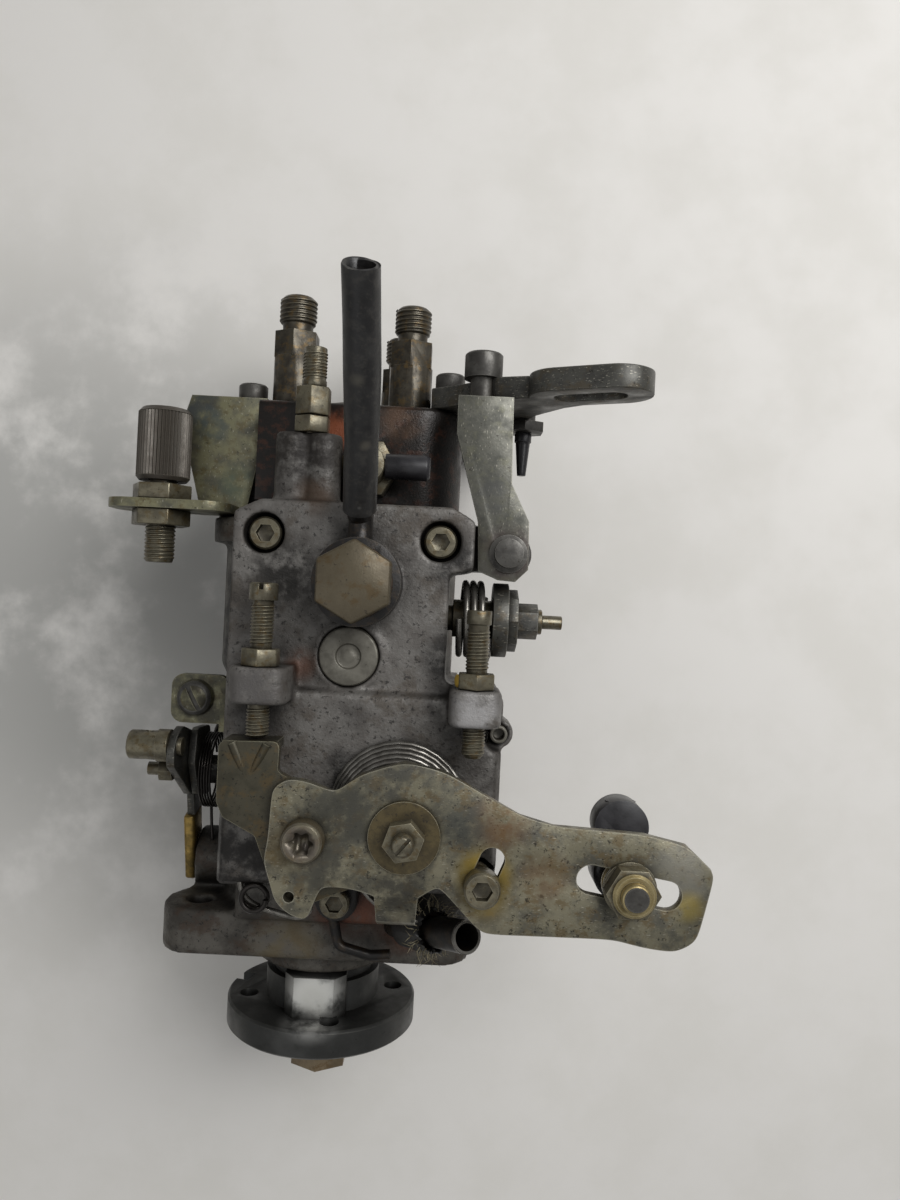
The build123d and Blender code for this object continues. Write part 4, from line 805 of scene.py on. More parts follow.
def swept(mesh: bmesh.types.BMesh, stations: Sequence[Station], sides: int = 32, capped: bool = True) -> None:
    """Draw a tube through stations by extruding one ring to the next.

    Args:
        mesh: Mesh that takes the tube.
        stations: Rings in order.
        sides: Vertices in a ring.
        capped: Whether both ends are filled.
    """
    made = bmesh.ops.create_circle(mesh, segments=sides, radius=1.0, matrix=stations[0].placing())
    ring = made["verts"]
    edges = list({edge for vert in ring for edge in vert.link_edges})
    if capped:
        bmesh.ops.contextual_create(mesh, geom=edges)
    for before, after in zip(stations, stations[1:]):
        out = bmesh.ops.extrude_edge_only(mesh, edges=edges)["geom"]
        ring = [item for item in out if isinstance(item, bmesh.types.BMVert)]
        edges = [item for item in out if isinstance(item, bmesh.types.BMEdge)]
        edges = [edge for edge in edges if all(vert in ring for vert in edge.verts)]
        bmesh.ops.transform(mesh, matrix=after.placing() @ before.placing().inverted(), verts=ring)
    if capped:
        bmesh.ops.contextual_create(mesh, geom=edges)


def turned(
    mesh: bmesh.types.BMesh, profile: Sequence[tuple[float, float]], place: Matrix, steps: int = 48
) -> None:
    """Spin a (radius, height) profile in millimetres about local Z.

    Args:
        mesh: Mesh that takes the form.
        profile: Corners of the half section.
        place: Where local Z goes.
        steps: Steps in the full turn.
    """
    before = set(mesh.verts)
    verts = [mesh.verts.new((radius * MM, 0, height * MM)) for radius, height in profile]
    edges = [mesh.edges.new(pair) for pair in zip(verts, verts[1:])]
    bmesh.ops.spin(
        mesh,
        geom=verts + edges,
        cent=(0, 0, 0),
        axis=(0, 0, 1),
        angle=2 * math.pi,
        steps=steps,
        use_merge=True,
    )
    bmesh.ops.transform(mesh, matrix=place, verts=[vert for vert in mesh.verts if vert not in before])


def threaded(mesh: bmesh.types.BMesh, place: Matrix, radius: float, pitch: float, length: float) -> None:
    """Wind a thread ridge round local Z, from height 0 to length.

    Args:
        mesh: Mesh that takes the ridge.
        place: Where local Z goes.
        radius: Radius of the solid that carries the thread.
        pitch: Rise of one turn.
        length: Threaded length.
    """
    per_turn = 28
    turns = max(int(length / pitch) - 1, 1)
    foot = radius - 0.06
    crest = radius + 0.32 * pitch
    corners = ((foot, 0), (crest, 0.42 * pitch), (crest, 0.58 * pitch), (foot, pitch))
    verts = [mesh.verts.new((r * MM, 0, h * MM)) for r, h in corners]
    edges = [mesh.edges.new(pair) for pair in zip(verts, verts[1:])]
    before = set(mesh.verts) - set(verts)
    bmesh.ops.spin(
        mesh,
        geom=verts + edges,
        cent=(0, 0, 0),
        axis=(0, 0, 1),
        dvec=(0, 0, pitch * MM / per_turn),
        angle=2 * math.pi * turns,
        steps=per_turn * turns,
    )
    bmesh.ops.transform(mesh, matrix=place, verts=[vert for vert in mesh.verts if vert not in before])


def wound(mesh: bmesh.types.BMesh, place: Matrix, coil: Sequence[float], phase: float = 0.0) -> None:
    """Wind a wire round local Z.

    Args:
        mesh: Mesh that takes the coil.
        place: Where local Z goes.
        coil: First radius, last radius, turns, height and wire radius, in millimetres.
        phase: Angle of the wire's last end in degrees.
    """
    first, last, turns, height, wire = coil
    before = set(mesh.verts)
    steps = int(turns * 30)
    rings = []
    for step in range(steps + 1):
        share = step / steps
        spin = math.radians(phase) + 2 * math.pi * turns * (share - 1)
        radius = first + (last - first) * share
        rings.append(
            Station(
                (radius * math.cos(spin), radius * math.sin(spin), height * share),
                (-math.sin(spin), math.cos(spin), height / (2 * math.pi * radius * turns)),
                wire,
            )
        )
    swept(mesh, rings, sides=10)
    bmesh.ops.transform(mesh, matrix=place, verts=[vert for vert in mesh.verts if vert not in before])


def boxed(mesh: bmesh.types.BMesh, size: Point, centre: Point, turn: float = 0.0) -> None:
    """Draw a box of a size round a centre, turned about Z by an angle in degrees."""
    made = bmesh.ops.create_cube(mesh, size=1.0)["verts"]
    place = at(centre) @ Matrix.Rotation(math.radians(turn), 4, "Z")
    bmesh.ops.transform(mesh, matrix=place @ Matrix.Diagonal((*(v * MM for v in size), 1.0)), verts=made)


class Workshop:
    """Knows the frame, makes objects from meshes and hands each to its body."""

    def __init__(self, frame: dict[str, Any]) -> None:
        """Read which body and slot each node belongs to.
        """
        record = frame["record"]
        self.nodes: dict[str, bpy.types.Object] = frame["nodes"]
        self.body_of = {n: body for body, names in record["behaviour"]["bodies"].items() for n in names}
        self.slot_of = {part["node"]: part["material_slot"] for part in record["subparts"]}
        self.finishes: dict[str, bpy.types.Material] = {}
        self.random = random.Random(7)

    def material(self, finish: Finish) -> bpy.types.Material:
        """Material of a finish, built once."""
        if finish.name not in self.finishes:
            self.finishes[finish.name] = finish.material()
        return self.finishes[finish.name]

    def piece(
        self,
        mesh: bmesh.types.BMesh,
        name: str,
        finish: Finish,
        like: str,
        mend: bool = True,
        smooth: float = 38,
    ) -> bpy.types.Object:
        """Turn a bmesh into a piece that rides like a node, with its own finish.

        Args:
            mesh: Finished bmesh, which is freed.
            name: Name of the piece.
            finish: Its surface.
            like: Node whose body it takes.
            mend: Whether normals are made to point outwards.
            smooth: Angle in degrees up to which faces are shaded smooth.

        Returns:
            The new object.
        """
        if mend:
            bmesh.ops.recalc_face_normals(mesh, faces=mesh.faces)
        data = bpy.data.meshes.new(name)
        mesh.to_mesh(data)
        mesh.free()
        obj = bpy.data.objects.new(name, data)
        bpy.context.scene.collection.objects.link(obj)
        self.smooth(data, smooth)
        data.materials.append(self.material(finish))
        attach(obj, self.body_of[like])
        log.info("%s: %d faces on %s", name, len(data.polygons), self.body_of[like])
        return obj

    def turning(
        self,
        name: str,
        finish: Finish,
        like: str,
        profile: Sequence[tuple[float, float]],
        place: Matrix,
        steps: int = 48,
    ) -> bpy.types.Object:
        """Make one piece by turning a profile.

        Args:
            name: Name of the piece.
            finish: Its surface.
            like: Node whose body it takes.
            profile: Corners of the half section, as radius and height in millimetres.
            place: Where local Z goes.
            steps: Steps in the full turn.

        Returns:
            The new object.
        """
        mesh = bmesh.new()
        turned(mesh, profile, place, steps)
        return self.piece(mesh, name, finish, like)

    def smooth(self, data: bpy.types.Mesh, angle: float) -> None:
        """Shade a mesh smooth below an angle in degrees and sharp above it."""
        data.polygons.foreach_set("use_smooth", [True] * len(data.polygons))
        data.set_sharp_from_angle(angle=math.radians(angle))
        data.update()

    def modified(self, obj: bpy.types.Object, angle: float) -> None:
        """Apply an object's modifiers and shade the result.

        Args:
            obj: Object whose modifiers are done.
            angle: Smoothing angle in degrees.
        """
        graph = bpy.context.evaluated_depsgraph_get()
        data = bpy.data.meshes.new_from_object(obj.evaluated_get(graph))
        data.name = obj.name
        obj.modifiers.clear()
        obj.data = data
        self.smooth(data, angle)

    def cut(self, obj: bpy.types.Object, cutter: bmesh.types.BMesh, angle: float = 50) -> None:
        """Cut a closed form out of a piece.

        Args:
            obj: Piece that is cut.
            cutter: Form that is taken away; it is freed.
            angle: Smoothing angle in degrees.
        """
        bmesh.ops.recalc_face_normals(cutter, faces=cutter.faces)
        data = bpy.data.meshes.new("cutter")
        cutter.to_mesh(data)
        cutter.free()
        tool = bpy.data.objects.new("cutter", data)
        bpy.context.scene.collection.objects.link(tool)
        taken = obj.modifiers.new("recess", "BOOLEAN")
        taken.operation, taken.solver, taken.object = "DIFFERENCE", "EXACT", tool
        finish = obj.data.materials[0]
        self.modified(obj, angle)
        obj.data.materials.clear()
        obj.data.materials.append(finish)
        bpy.data.objects.remove(tool)

    def softened(self, mesh: bmesh.types.BMesh, passes: int) -> None:
        """Round the outline of a flat plate and leave its holes alone.

        Args:
            mesh: The plate, lying on XY.
            passes: How often each point of the outline moves to the middle of its neighbours.
        """
        for height in (max(v.co.z for v in mesh.verts), min(v.co.z for v in mesh.verts)):
            level = [e for e in mesh.edges if all(abs(v.co.z - height) < 0.05 * MM for v in e.verts)]
            rim = {e for e in level if e.is_manifold and e.calc_face_angle() > math.radians(60)}
            start = min((v for e in rim for v in e.verts), key=lambda v: v.co.x)
            outline, queue = set(), [start]
            while queue:
                for edge in queue.pop().link_edges:
                    if edge in rim and edge not in outline:
                        outline.add(edge)
                        queue.extend(edge.verts)
            for edge in list(outline):
                cuts = int(edge.calc_length() / (1.2 * MM))
                if cuts:
                    made = bmesh.ops.subdivide_edges(mesh, edges=[edge], cuts=cuts)["geom_split"]
                    outline.update(item for item in made if isinstance(item, bmesh.types.BMEdge))
            outline = {edge for edge in outline if edge.is_valid}
            loop = {v for e in outline for v in e.verts}
            beside = {v: [e.other_vert(v) for e in v.link_edges if e in outline] for v in loop}
            for _ in range(passes):
                middles = {v: sum((n.co for n in near), Vector()) / len(near) for v, near in beside.items()}
                moved = {vert: vert.co.lerp(middle, 0.5) for vert, middle in middles.items()}
                for vert, place in moved.items():
                    vert.co = place

    def dress(
        self,
        node: str,
        finish: Finish,
        edge: Edge = Edge.BROKEN,
        width: float = 0.3,
        softening: int = 0,
    ) -> bpy.types.Object:
        """Copy a node with worked edges and its real surface, in the node's place.

        Args:
            node: Name of the CAD node.
            finish: Its surface.
            edge: How its edges are finished.
            width: Width of a broken edge, or voxel size of a casting, in millimetres.
            softening: Passes that round a flat plate's outline first.

        Returns:
            The piece that stands for the node.
        """
        mesh = bmesh.new()
        mesh.from_mesh(self.nodes[node].data)
        bmesh.ops.remove_doubles(mesh, verts=mesh.verts, dist=1e-6)
        if edge is not Edge.CAST:
            bmesh.ops.dissolve_limit(mesh, angle_limit=math.radians(0.4), verts=mesh.verts, edges=mesh.edges)
        if softening:
            self.softened(mesh, softening)
        obj = self.piece(mesh, f"worn_{node}", finish, node, mend=False)
        if edge is Edge.BROKEN:
            bevel = obj.modifiers.new("broken_edges", "BEVEL")
            bevel.width = width * MM
            bevel.segments = 2
            bevel.limit_method = "ANGLE"
            bevel.angle_limit = math.radians(38)
            bevel.use_clamp_overlap = True
            self.modified(obj, 50)
        elif edge is Edge.CAST:
            remesh = obj.modifiers.new("cast_skin", "REMESH")
            remesh.mode = "VOXEL"
            remesh.voxel_size = width * MM
            soften = obj.modifiers.new("cast_radii", "SMOOTH")
            soften.factor = 0.5
            soften.iterations = 4
            self.modified(obj, 80)
        obj.data.materials.clear()
        obj.data.materials.append(self.material(finish))
        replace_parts(obj, node)
        return obj

    def paint(self, node: str, finish: Finish) -> None:
        """Give a node that keeps its own mesh its real surface.

        Args:
            node: Name of the CAD node.
            finish: Its surface.
        """
        for slot in self.nodes[node].material_slots:
            slot.material = self.material(finish)


@dataclass
class Castings:
    """Housing, governor cover, head and timing covers."""

    cover_skin: float = 0.9
    housing_skin: float = 1.15

    def build(self, shop: Workshop) -> None:
        """Dress the castings.

        Args:
            shop: Where pieces are made.
        """
        shop.dress("governor_cover", CAST_COVER, Edge.CAST, self.cover_skin)
        shop.dress("pump_housing", CAST_HOUSING, Edge.CAST, self.housing_skin)
        shop.dress("distributor_head", HEAD_IRON, width=0.6)
        shop.dress("timing_covers", CAST_HOUSING, width=0.5)
        shop.dress("housing_plugs", PLUG_STEEL)
        shop.dress("stop_solenoid", ZINC_SCREW, width=0.4)
        shop.dress("terminal_boots", BLACK_MOULDING, width=0.4)


@dataclass
class Fasteners:
    """Screws and nuts, with the threads that show."""

    idle: Point = (-12.6, 107.0, 79.0)
    maximum: Point = (49.0, 102.5, 79.0)
    full_load: Point = (-4.5, 187.8, 58.0)
    pitch: float = 1.0
    star_head: Point = (3.4, 54.5, 87.5)
    star_radius: float = 2.95
    star_lobe: float = 0.5
    slotted_head: Point = (-41, 86.4, 41)

    def build(self, shop: Workshop) -> None:
        """Dress the fasteners and cut their threads.

        Args:
            shop: Where pieces are made.
        """
        for node, finish in (
            ("cover_screws", ZINC_SCREW),
            ("housing_screws", BRIGHT_BOLT),
            ("bracket_screws", BRIGHT_BOLT),
        ):
            shop.dress(node, finish, width=0.35)
        shop.dress("locknuts", ZINC_SCREW, width=0.45)
        for node in ("idle_screw", "max_speed_screw", "full_load_screw"):
            shop.dress(node, TURNED_STEEL, width=0.25)
        threads = (
            ("idle_screw", self.idle, 3.0, 12.0),
            ("idle_screw", (self.idle[0], 80.8, self.idle[2]), 3.0, 9.4),
            ("max_speed_screw", self.maximum, 3.0, 12.5),
            ("max_speed_screw", (self.maximum[0], 78.4, self.maximum[2]), 3.0, 8.2),
            ("full_load_screw", self.full_load, 3.45, 9.5),
        )
        self.star(shop)
        self.slotted(shop)
        for count, (node, start, radius, length) in enumerate(threads):
            mesh = bmesh.new()
            threaded(mesh, along(start, (0, 1, 0)), radius, self.pitch, length)
            shop.piece(mesh, f"screw_thread_{count}", TURNED_STEEL, node, smooth=30)


    def star(self, shop: Workshop) -> None:
        """Dress the lever's screws and cut the star recess of the left one.

        Args:
            shop: Where pieces are made.
        """
        screws = shop.dress("lever_fasteners", ZINC_SCREW, width=0.35)
        mesh = bmesh.new()
        centre = Vector(self.star_head)
        verts = []
        for step in range(36):
            spin = math.radians(10 * step)
            reach = self.star_radius + self.star_lobe * math.cos(6 * spin)
            corner = centre + Vector((reach * math.cos(spin), reach * math.sin(spin), 1.5))
            verts.append(mesh.verts.new(corner * MM))
        face = mesh.faces.new(verts)
        grown = bmesh.ops.extrude_face_region(mesh, geom=[face])["geom"]
        up = [item for item in grown if isinstance(item, bmesh.types.BMVert)]
        bmesh.ops.translate(mesh, vec=(0, 0, 6 * MM), verts=up)
        shop.cut(screws, mesh)
        rim = [(4.3, 3.9), (5.5, 3.9), (6.0, 3.2), (6.0, 0.2), (4.3, 0.2), (4.3, 3.9)]
        shop.turning("rolled_screw_collar", BANJO_TAN, "lever_fasteners", rim, at(self.star_head), 40)

    def slotted(self, shop: Workshop) -> None:
        """Cap the side plate's screw with a domed, slotted head.

        Args:
            shop: Where pieces are made.
        """
        dome = [(0.01, 3.7), (2.6, 3.5), (4.4, 2.9), (5.6, 1.8), (6.0, 0.8), (6.0, 0.05), (0.01, 0.05)]
        place = at(self.slotted_head)
        head = shop.turning("slotted_head", OLIVE_SHEET, "bracket_screws", dome, place, 40)
        mesh = bmesh.new()
        slot = Vector(self.slotted_head) + Vector((0, 0, 3.9))
        boxed(mesh, (14, 1.5, 3.2), tuple(slot), 118)
        shop.cut(head, mesh)


@dataclass
class Outlets:
    """Delivery-valve holders with their union threads."""

    circle: float = 28.3
    angles: tuple[float, ...] = (36.4, 126.4, 216.4, 306.4)
    thread_start: float = 215.0
    thread_radius: float = 5.95
    pitch: float = 1.5
    thread_length: float = 9.0

    def build(self, shop: Workshop) -> None:
        """Dress the holders and cut their threads.

        Args:
            shop: Where pieces are made.
        """
        shop.dress("delivery_valve_holders", VALVE_STEEL, width=0.4)
        mesh = bmesh.new()
        for angle in self.angles:
            turn = math.radians(angle)
            place = (self.circle * math.cos(turn), self.thread_start, self.circle * math.sin(turn))
            threaded(mesh, along(place, (0, 1, 0)), self.thread_radius, self.pitch, self.thread_length)
        shop.piece(mesh, "union_threads", VALVE_STEEL, "delivery_valve_holders", smooth=30)


@dataclass
class DriveEnd:
    """Hub, its nut and the shaft's end."""

    thread_radius: float = 6.0
    pitch: float = 1.5

    def build(self, shop: Workshop) -> None:
        """Dress the drive end and give the shaft and its seal their surfaces.

        Args:
            shop: Where pieces are made.
        """
        shop.dress("drive_hub", HUB_STEEL, width=0.5)
        shop.dress("hub_nut", NUT_TAN, width=0.45)
        shop.paint("drive_shaft", TURNED_STEEL)
        shop.paint("shaft_seal", HOSE_RUBBER)


@dataclass
class Linkages:
    """Throttle, stop and cold-start levers with their springs."""

    stud: Point = (93.5, 45.5, 0)
    shaft: Point = (31.0, 56.5, 98.6)
    cone_foot: Point = (28.0, 60.0, 70.4)
    cone: tuple[float, ...] = (19.8, 15.0, 4.7, 9.3, 0.9)
    cold_foot: Point = (-43.6, 57.5, 12)
    eye_foot: Point = (-13.4, 31.0, 65.5)
    eye: tuple[float, ...] = (3.7, 3.7, 1.8, 3.4, 0.85)
    finger_size: Point = (4.0, 25, 10.4)
    finger_centre: Point = (-48.6, 30.0, 7.2)
    throttle_hook: tuple[Point, ...] = (
        (17.2, 49.6, 79.7), (18, 40, 79.4), (25, 33.4, 79.6), (36.4, 30.6, 80.4),
    )
    cold_tail: tuple[Point, ...] = ((-42.4, 46.4, 9), (-41.9, 41, 10), (-41.2, 36, 11), (-40.5, 31.8, 12))
    cold_hook: tuple[Point, ...] = ((-42.4, 69, 9), (-42.4, 73, 3), (-42.0, 75, -4), (-40.4, 75.5, -9))
    stop_hook: tuple[Point, ...] = ((51.9, 106, 50), (52.4, 104, 56), (52.6, 104.4, 60), (52.6, 107.5, 62))
    idle_wire: tuple[Point, ...] = (
        (-17.9, 40.5, 62), (-18.2, 38, 66.6), (-18, 34.7, 67.5), (-16.3, 30.3, 67), (-11.9, 27.2, 65),
        (-6.6, 26.1, 65), (-0.6, 24.8, 66), (2.9, 26.9, 68), (4.0, 30.4, 70),
    )
    cold_coil: tuple[float, ...] = (12.9, 12.9, 5.2, 4.9, 0.42)

    def build(self, shop: Workshop) -> None:
        """Dress the levers and add springs, creases, the washer, hooks and the worn finger.

        Args:
            shop: Where pieces are made.
        """
        shop.dress("throttle_lever", LEVER_SHEET, width=0.45, softening=34)
        shop.dress("stop_plate", STOP_SHEET, width=0.4)
        shaft = shop.dress("throttle_shaft", TURNED_STEEL)
        mesh = bmesh.new()
        boxed(mesh, (9, 0.9, 2.4), self.shaft, 50)
        shop.cut(shaft, mesh)
        shop.dress("ball_stud", BALL_STEEL)
        end = [(0.01, 98.12), (3.2, 98.12), (3.55, 97.8), (3.55, 96)]
        shop.turning("stud_end", BRIGHT_BOLT, "ball_stud", end, at(self.stud), 40)
        ring = [(4.05, 94.2), (5.9, 94.2), (5.9, 95.0), (5.2, 95.6), (4.05, 95.6), (4.05, 94.2)]
        shop.turning("nut_collar", BALL_STEEL, "lever_fasteners", ring, at(self.stud))
        shop.dress("ball_socket", BLACK_MOULDING, width=0.8)
        shop.dress("cold_start_lever", GREY_PLATE, width=0.35)
        shop.dress("cable_pin", ZINC_SCREW, width=0.4)
        shop.dress("stop_shaft", TURNED_STEEL)
        shop.dress("stop_lever", GREY_PLATE, width=0.4)
        shop.dress("stop_spring", SPRING_WIRE, Edge.SHARP)
        self.coils(shop)
        self.creases(shop)
        self.washer(shop)
        self.hooks(shop)
        self.finger(shop)

    def coils(self, shop: Workshop) -> None:
        """Wind the throttle's cone spring, the cold-start spring and the eye of the idle spring.

        Args:
            shop: Where pieces are made.
        """
        sideways = along(self.cold_foot, (1, 0, 0))
        coils = (
            ("cone_spring", "throttle_spring", SPRING_WIRE, at(self.cone_foot), self.cone, -136.0),
            ("cold_coil", "cold_start_spring", DARK_WIRE, sideways, self.cold_coil, 0.0),
        )
        for name, node, finish, place, coil, phase in coils:
            mesh = bmesh.new()
            wound(mesh, place, coil, phase)
            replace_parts(shop.piece(mesh, name, finish, node, smooth=80), node)
        mesh = bmesh.new()
        wound(mesh, at(self.eye_foot), self.eye)
        shop.piece(mesh, "idle_spring_eye", DARK_WIRE, "cover_screws", smooth=80)

    def creases(self, shop: Workshop) -> None:
        """Press the two ridges of the V into the stop plate's tab.

        Args:
            shop: Where pieces are made.
        """
        mesh = bmesh.new()
        for start, width in (((-18.4, 79.6, 83.7), 1.5), ((-8.6, 79.6, 83.7), 1.5)):
            foot = Vector((-13.7, 69.0, 83.4))
            way = (foot - Vector(start)).normalized()
            path = [Vector(start).lerp(foot, share) for share in (0.0, 0.35, 0.7, 1.0)]
            rings = [Station(tuple(p), tuple(way), w) for p, w in zip(path, (width, width, 0.8 * width, 0.3))]
            swept(mesh, rings, sides=16)
        shop.piece(mesh, "tab_creases", STOP_SHEET, "stop_plate", smooth=80)

    def washer(self, shop: Workshop) -> None:
        """Skin the throttle washer in its own olive gold.

        Args:
            shop: Where pieces are made.
        """
        low, high, outer, inner = 87.5, 89.16, 10.06, 4.9
        ring = [(inner, low), (outer - 0.2, low), (outer, low + 0.2)]
        ring += [(outer, high - 0.25), (outer - 0.25, high), (inner, high), (inner, low)]
        place = along((self.shaft[0], self.shaft[1], 0), (0, 0, 1))
        shop.turning("gold_washer", WASHER_GOLD, "lever_fasteners", ring, place, 64)

    def hooks(self, shop: Workshop) -> None:
        """Bend the wire ends that hook the springs to their levers, and the idle spring's wire.

        Args:
            shop: Where pieces are made.
        """
        wires = (
            ("throttle_spring", SPRING_WIRE, 0.95, self.throttle_hook),
            ("cold_start_spring", DARK_WIRE, 0.55, self.cold_tail),
            ("cold_start_spring", DARK_WIRE, 0.9, self.cold_hook),
            ("stop_spring", SPRING_WIRE, 1.05, self.stop_hook),
            ("cover_screws", SPRING_WIRE, 0.9, self.idle_wire),
        )
        for count, (node, finish, radius, points) in enumerate(wires):
            mesh = bmesh.new()
            path = [Vector(point) for point in points]
            rings = []
            for here, point in enumerate(path):
                ahead = path[min(here + 1, len(path) - 1)] - path[max(here - 1, 0)]
                rings.append(Station(tuple(point), tuple(ahead.normalized()), radius))
            swept(mesh, rings, sides=12)
            hook = shop.piece(mesh, f"wire_hook_{count}", finish, node, smooth=80)
            curve = hook.modifiers.new("bent_wire", "SUBSURF")
            curve.levels = curve.render_levels = 2
            shop.modified(hook, 80)

    def finger(self, shop: Workshop) -> None:
        """Sleeve the cold-start finger's tip in worn brass.

        Args:
            shop: Where pieces are made.
        """
        mesh = bmesh.new()
        bmesh.ops.create_cube(mesh, size=1.0)
        bmesh.ops.scale(mesh, vec=Vector(self.finger_size) * MM, verts=mesh.verts)
        bmesh.ops.bevel(
            mesh, geom=mesh.edges, offset=1.1 * MM, segments=3, profile=0.5, affect="EDGES", material=-1
        )
        tilt = Matrix.Rotation(math.radians(14), 4, "X")
        bmesh.ops.transform(mesh, matrix=at(self.finger_centre) @ tilt, verts=mesh.verts)
        shop.piece(mesh, "cold_start_brass_tip", BRASS_TIP, "cold_start_lever")


@dataclass
class CableStop:
    """Bracket and knurled cable adjuster."""

    axis: Point = (-56.5, 156.8, 37.0)
    cap_radius: float = 8.65
    cap_length: float = 23.7
    flutes: int = 46
    flute_depth: float = 0.5

    def build(self, shop: Workshop) -> None:
        """Dress the bracket, knurl the cap and cut the adjuster's thread.

        Args:
            shop: Where pieces are made.
        """
        shop.dress("cable_bracket", OLIVE_SHEET, width=0.5)
        shop.dress("side_plate", OLIVE_SHEET, width=0.4)
        mesh = bmesh.new()
        top, length = self.cap_radius, self.cap_length
        heights = [1.4 + (length - 3.0) * step / 10 for step in range(11)]
        profile = [(4.9, 0), (7.7, 0), (top, 1.2)]
        profile += [(top, height) for height in heights]
        profile += [(top, length - 1.4), (7.4, length), (3.0, length)]
        profile += [(3.0, length - 4.0), (0.01, length - 4.0)]
        turned(mesh, profile, Matrix.Identity(4), steps=2 * self.flutes)
        for vert in mesh.verts:
            column = round(math.atan2(vert.co.y, vert.co.x) / (math.pi / self.flutes))
            if column % 2 and 1.3 * MM < vert.co.z < (length - 1.5) * MM and vert.co.xy.length > 8 * MM:
                vert.co.xy *= 1 - self.flute_depth / top
        bmesh.ops.transform(mesh, matrix=along(self.axis, (0, 1, 0)), verts=mesh.verts)
        shop.piece(mesh, "knurled_cap", KNURLED, "cable_adjuster", smooth=25)
        mesh = bmesh.new()
        start = (self.axis[0], 130.0, self.axis[2])
        turned(mesh, [(1.6, 0), (4.1, 0), (4.5, 0.7), (4.5, 27.2), (1.6, 27.2)], along(start, (0, 1, 0)), 40)
        threaded(mesh, along((start[0], 130.4, start[2]), (0, 1, 0)), 4.5, 1.25, 26.5)
        body = shop.piece(mesh, "adjuster_thread", TURNED_STEEL, "cable_adjuster", smooth=30)
        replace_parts(body, "cable_adjuster")


@dataclass
class RearBrackets:
    """Support plate and the strap from the cover."""

    def build(self, shop: Workshop) -> None:
        """Dress both brackets.

        Args:
            shop: Where pieces are made.
        """
        shop.dress("rear_support_plate", GREY_PLATE, width=1.3)
        shop.dress("stay_strap", STRAP_SHEET, width=0.6)


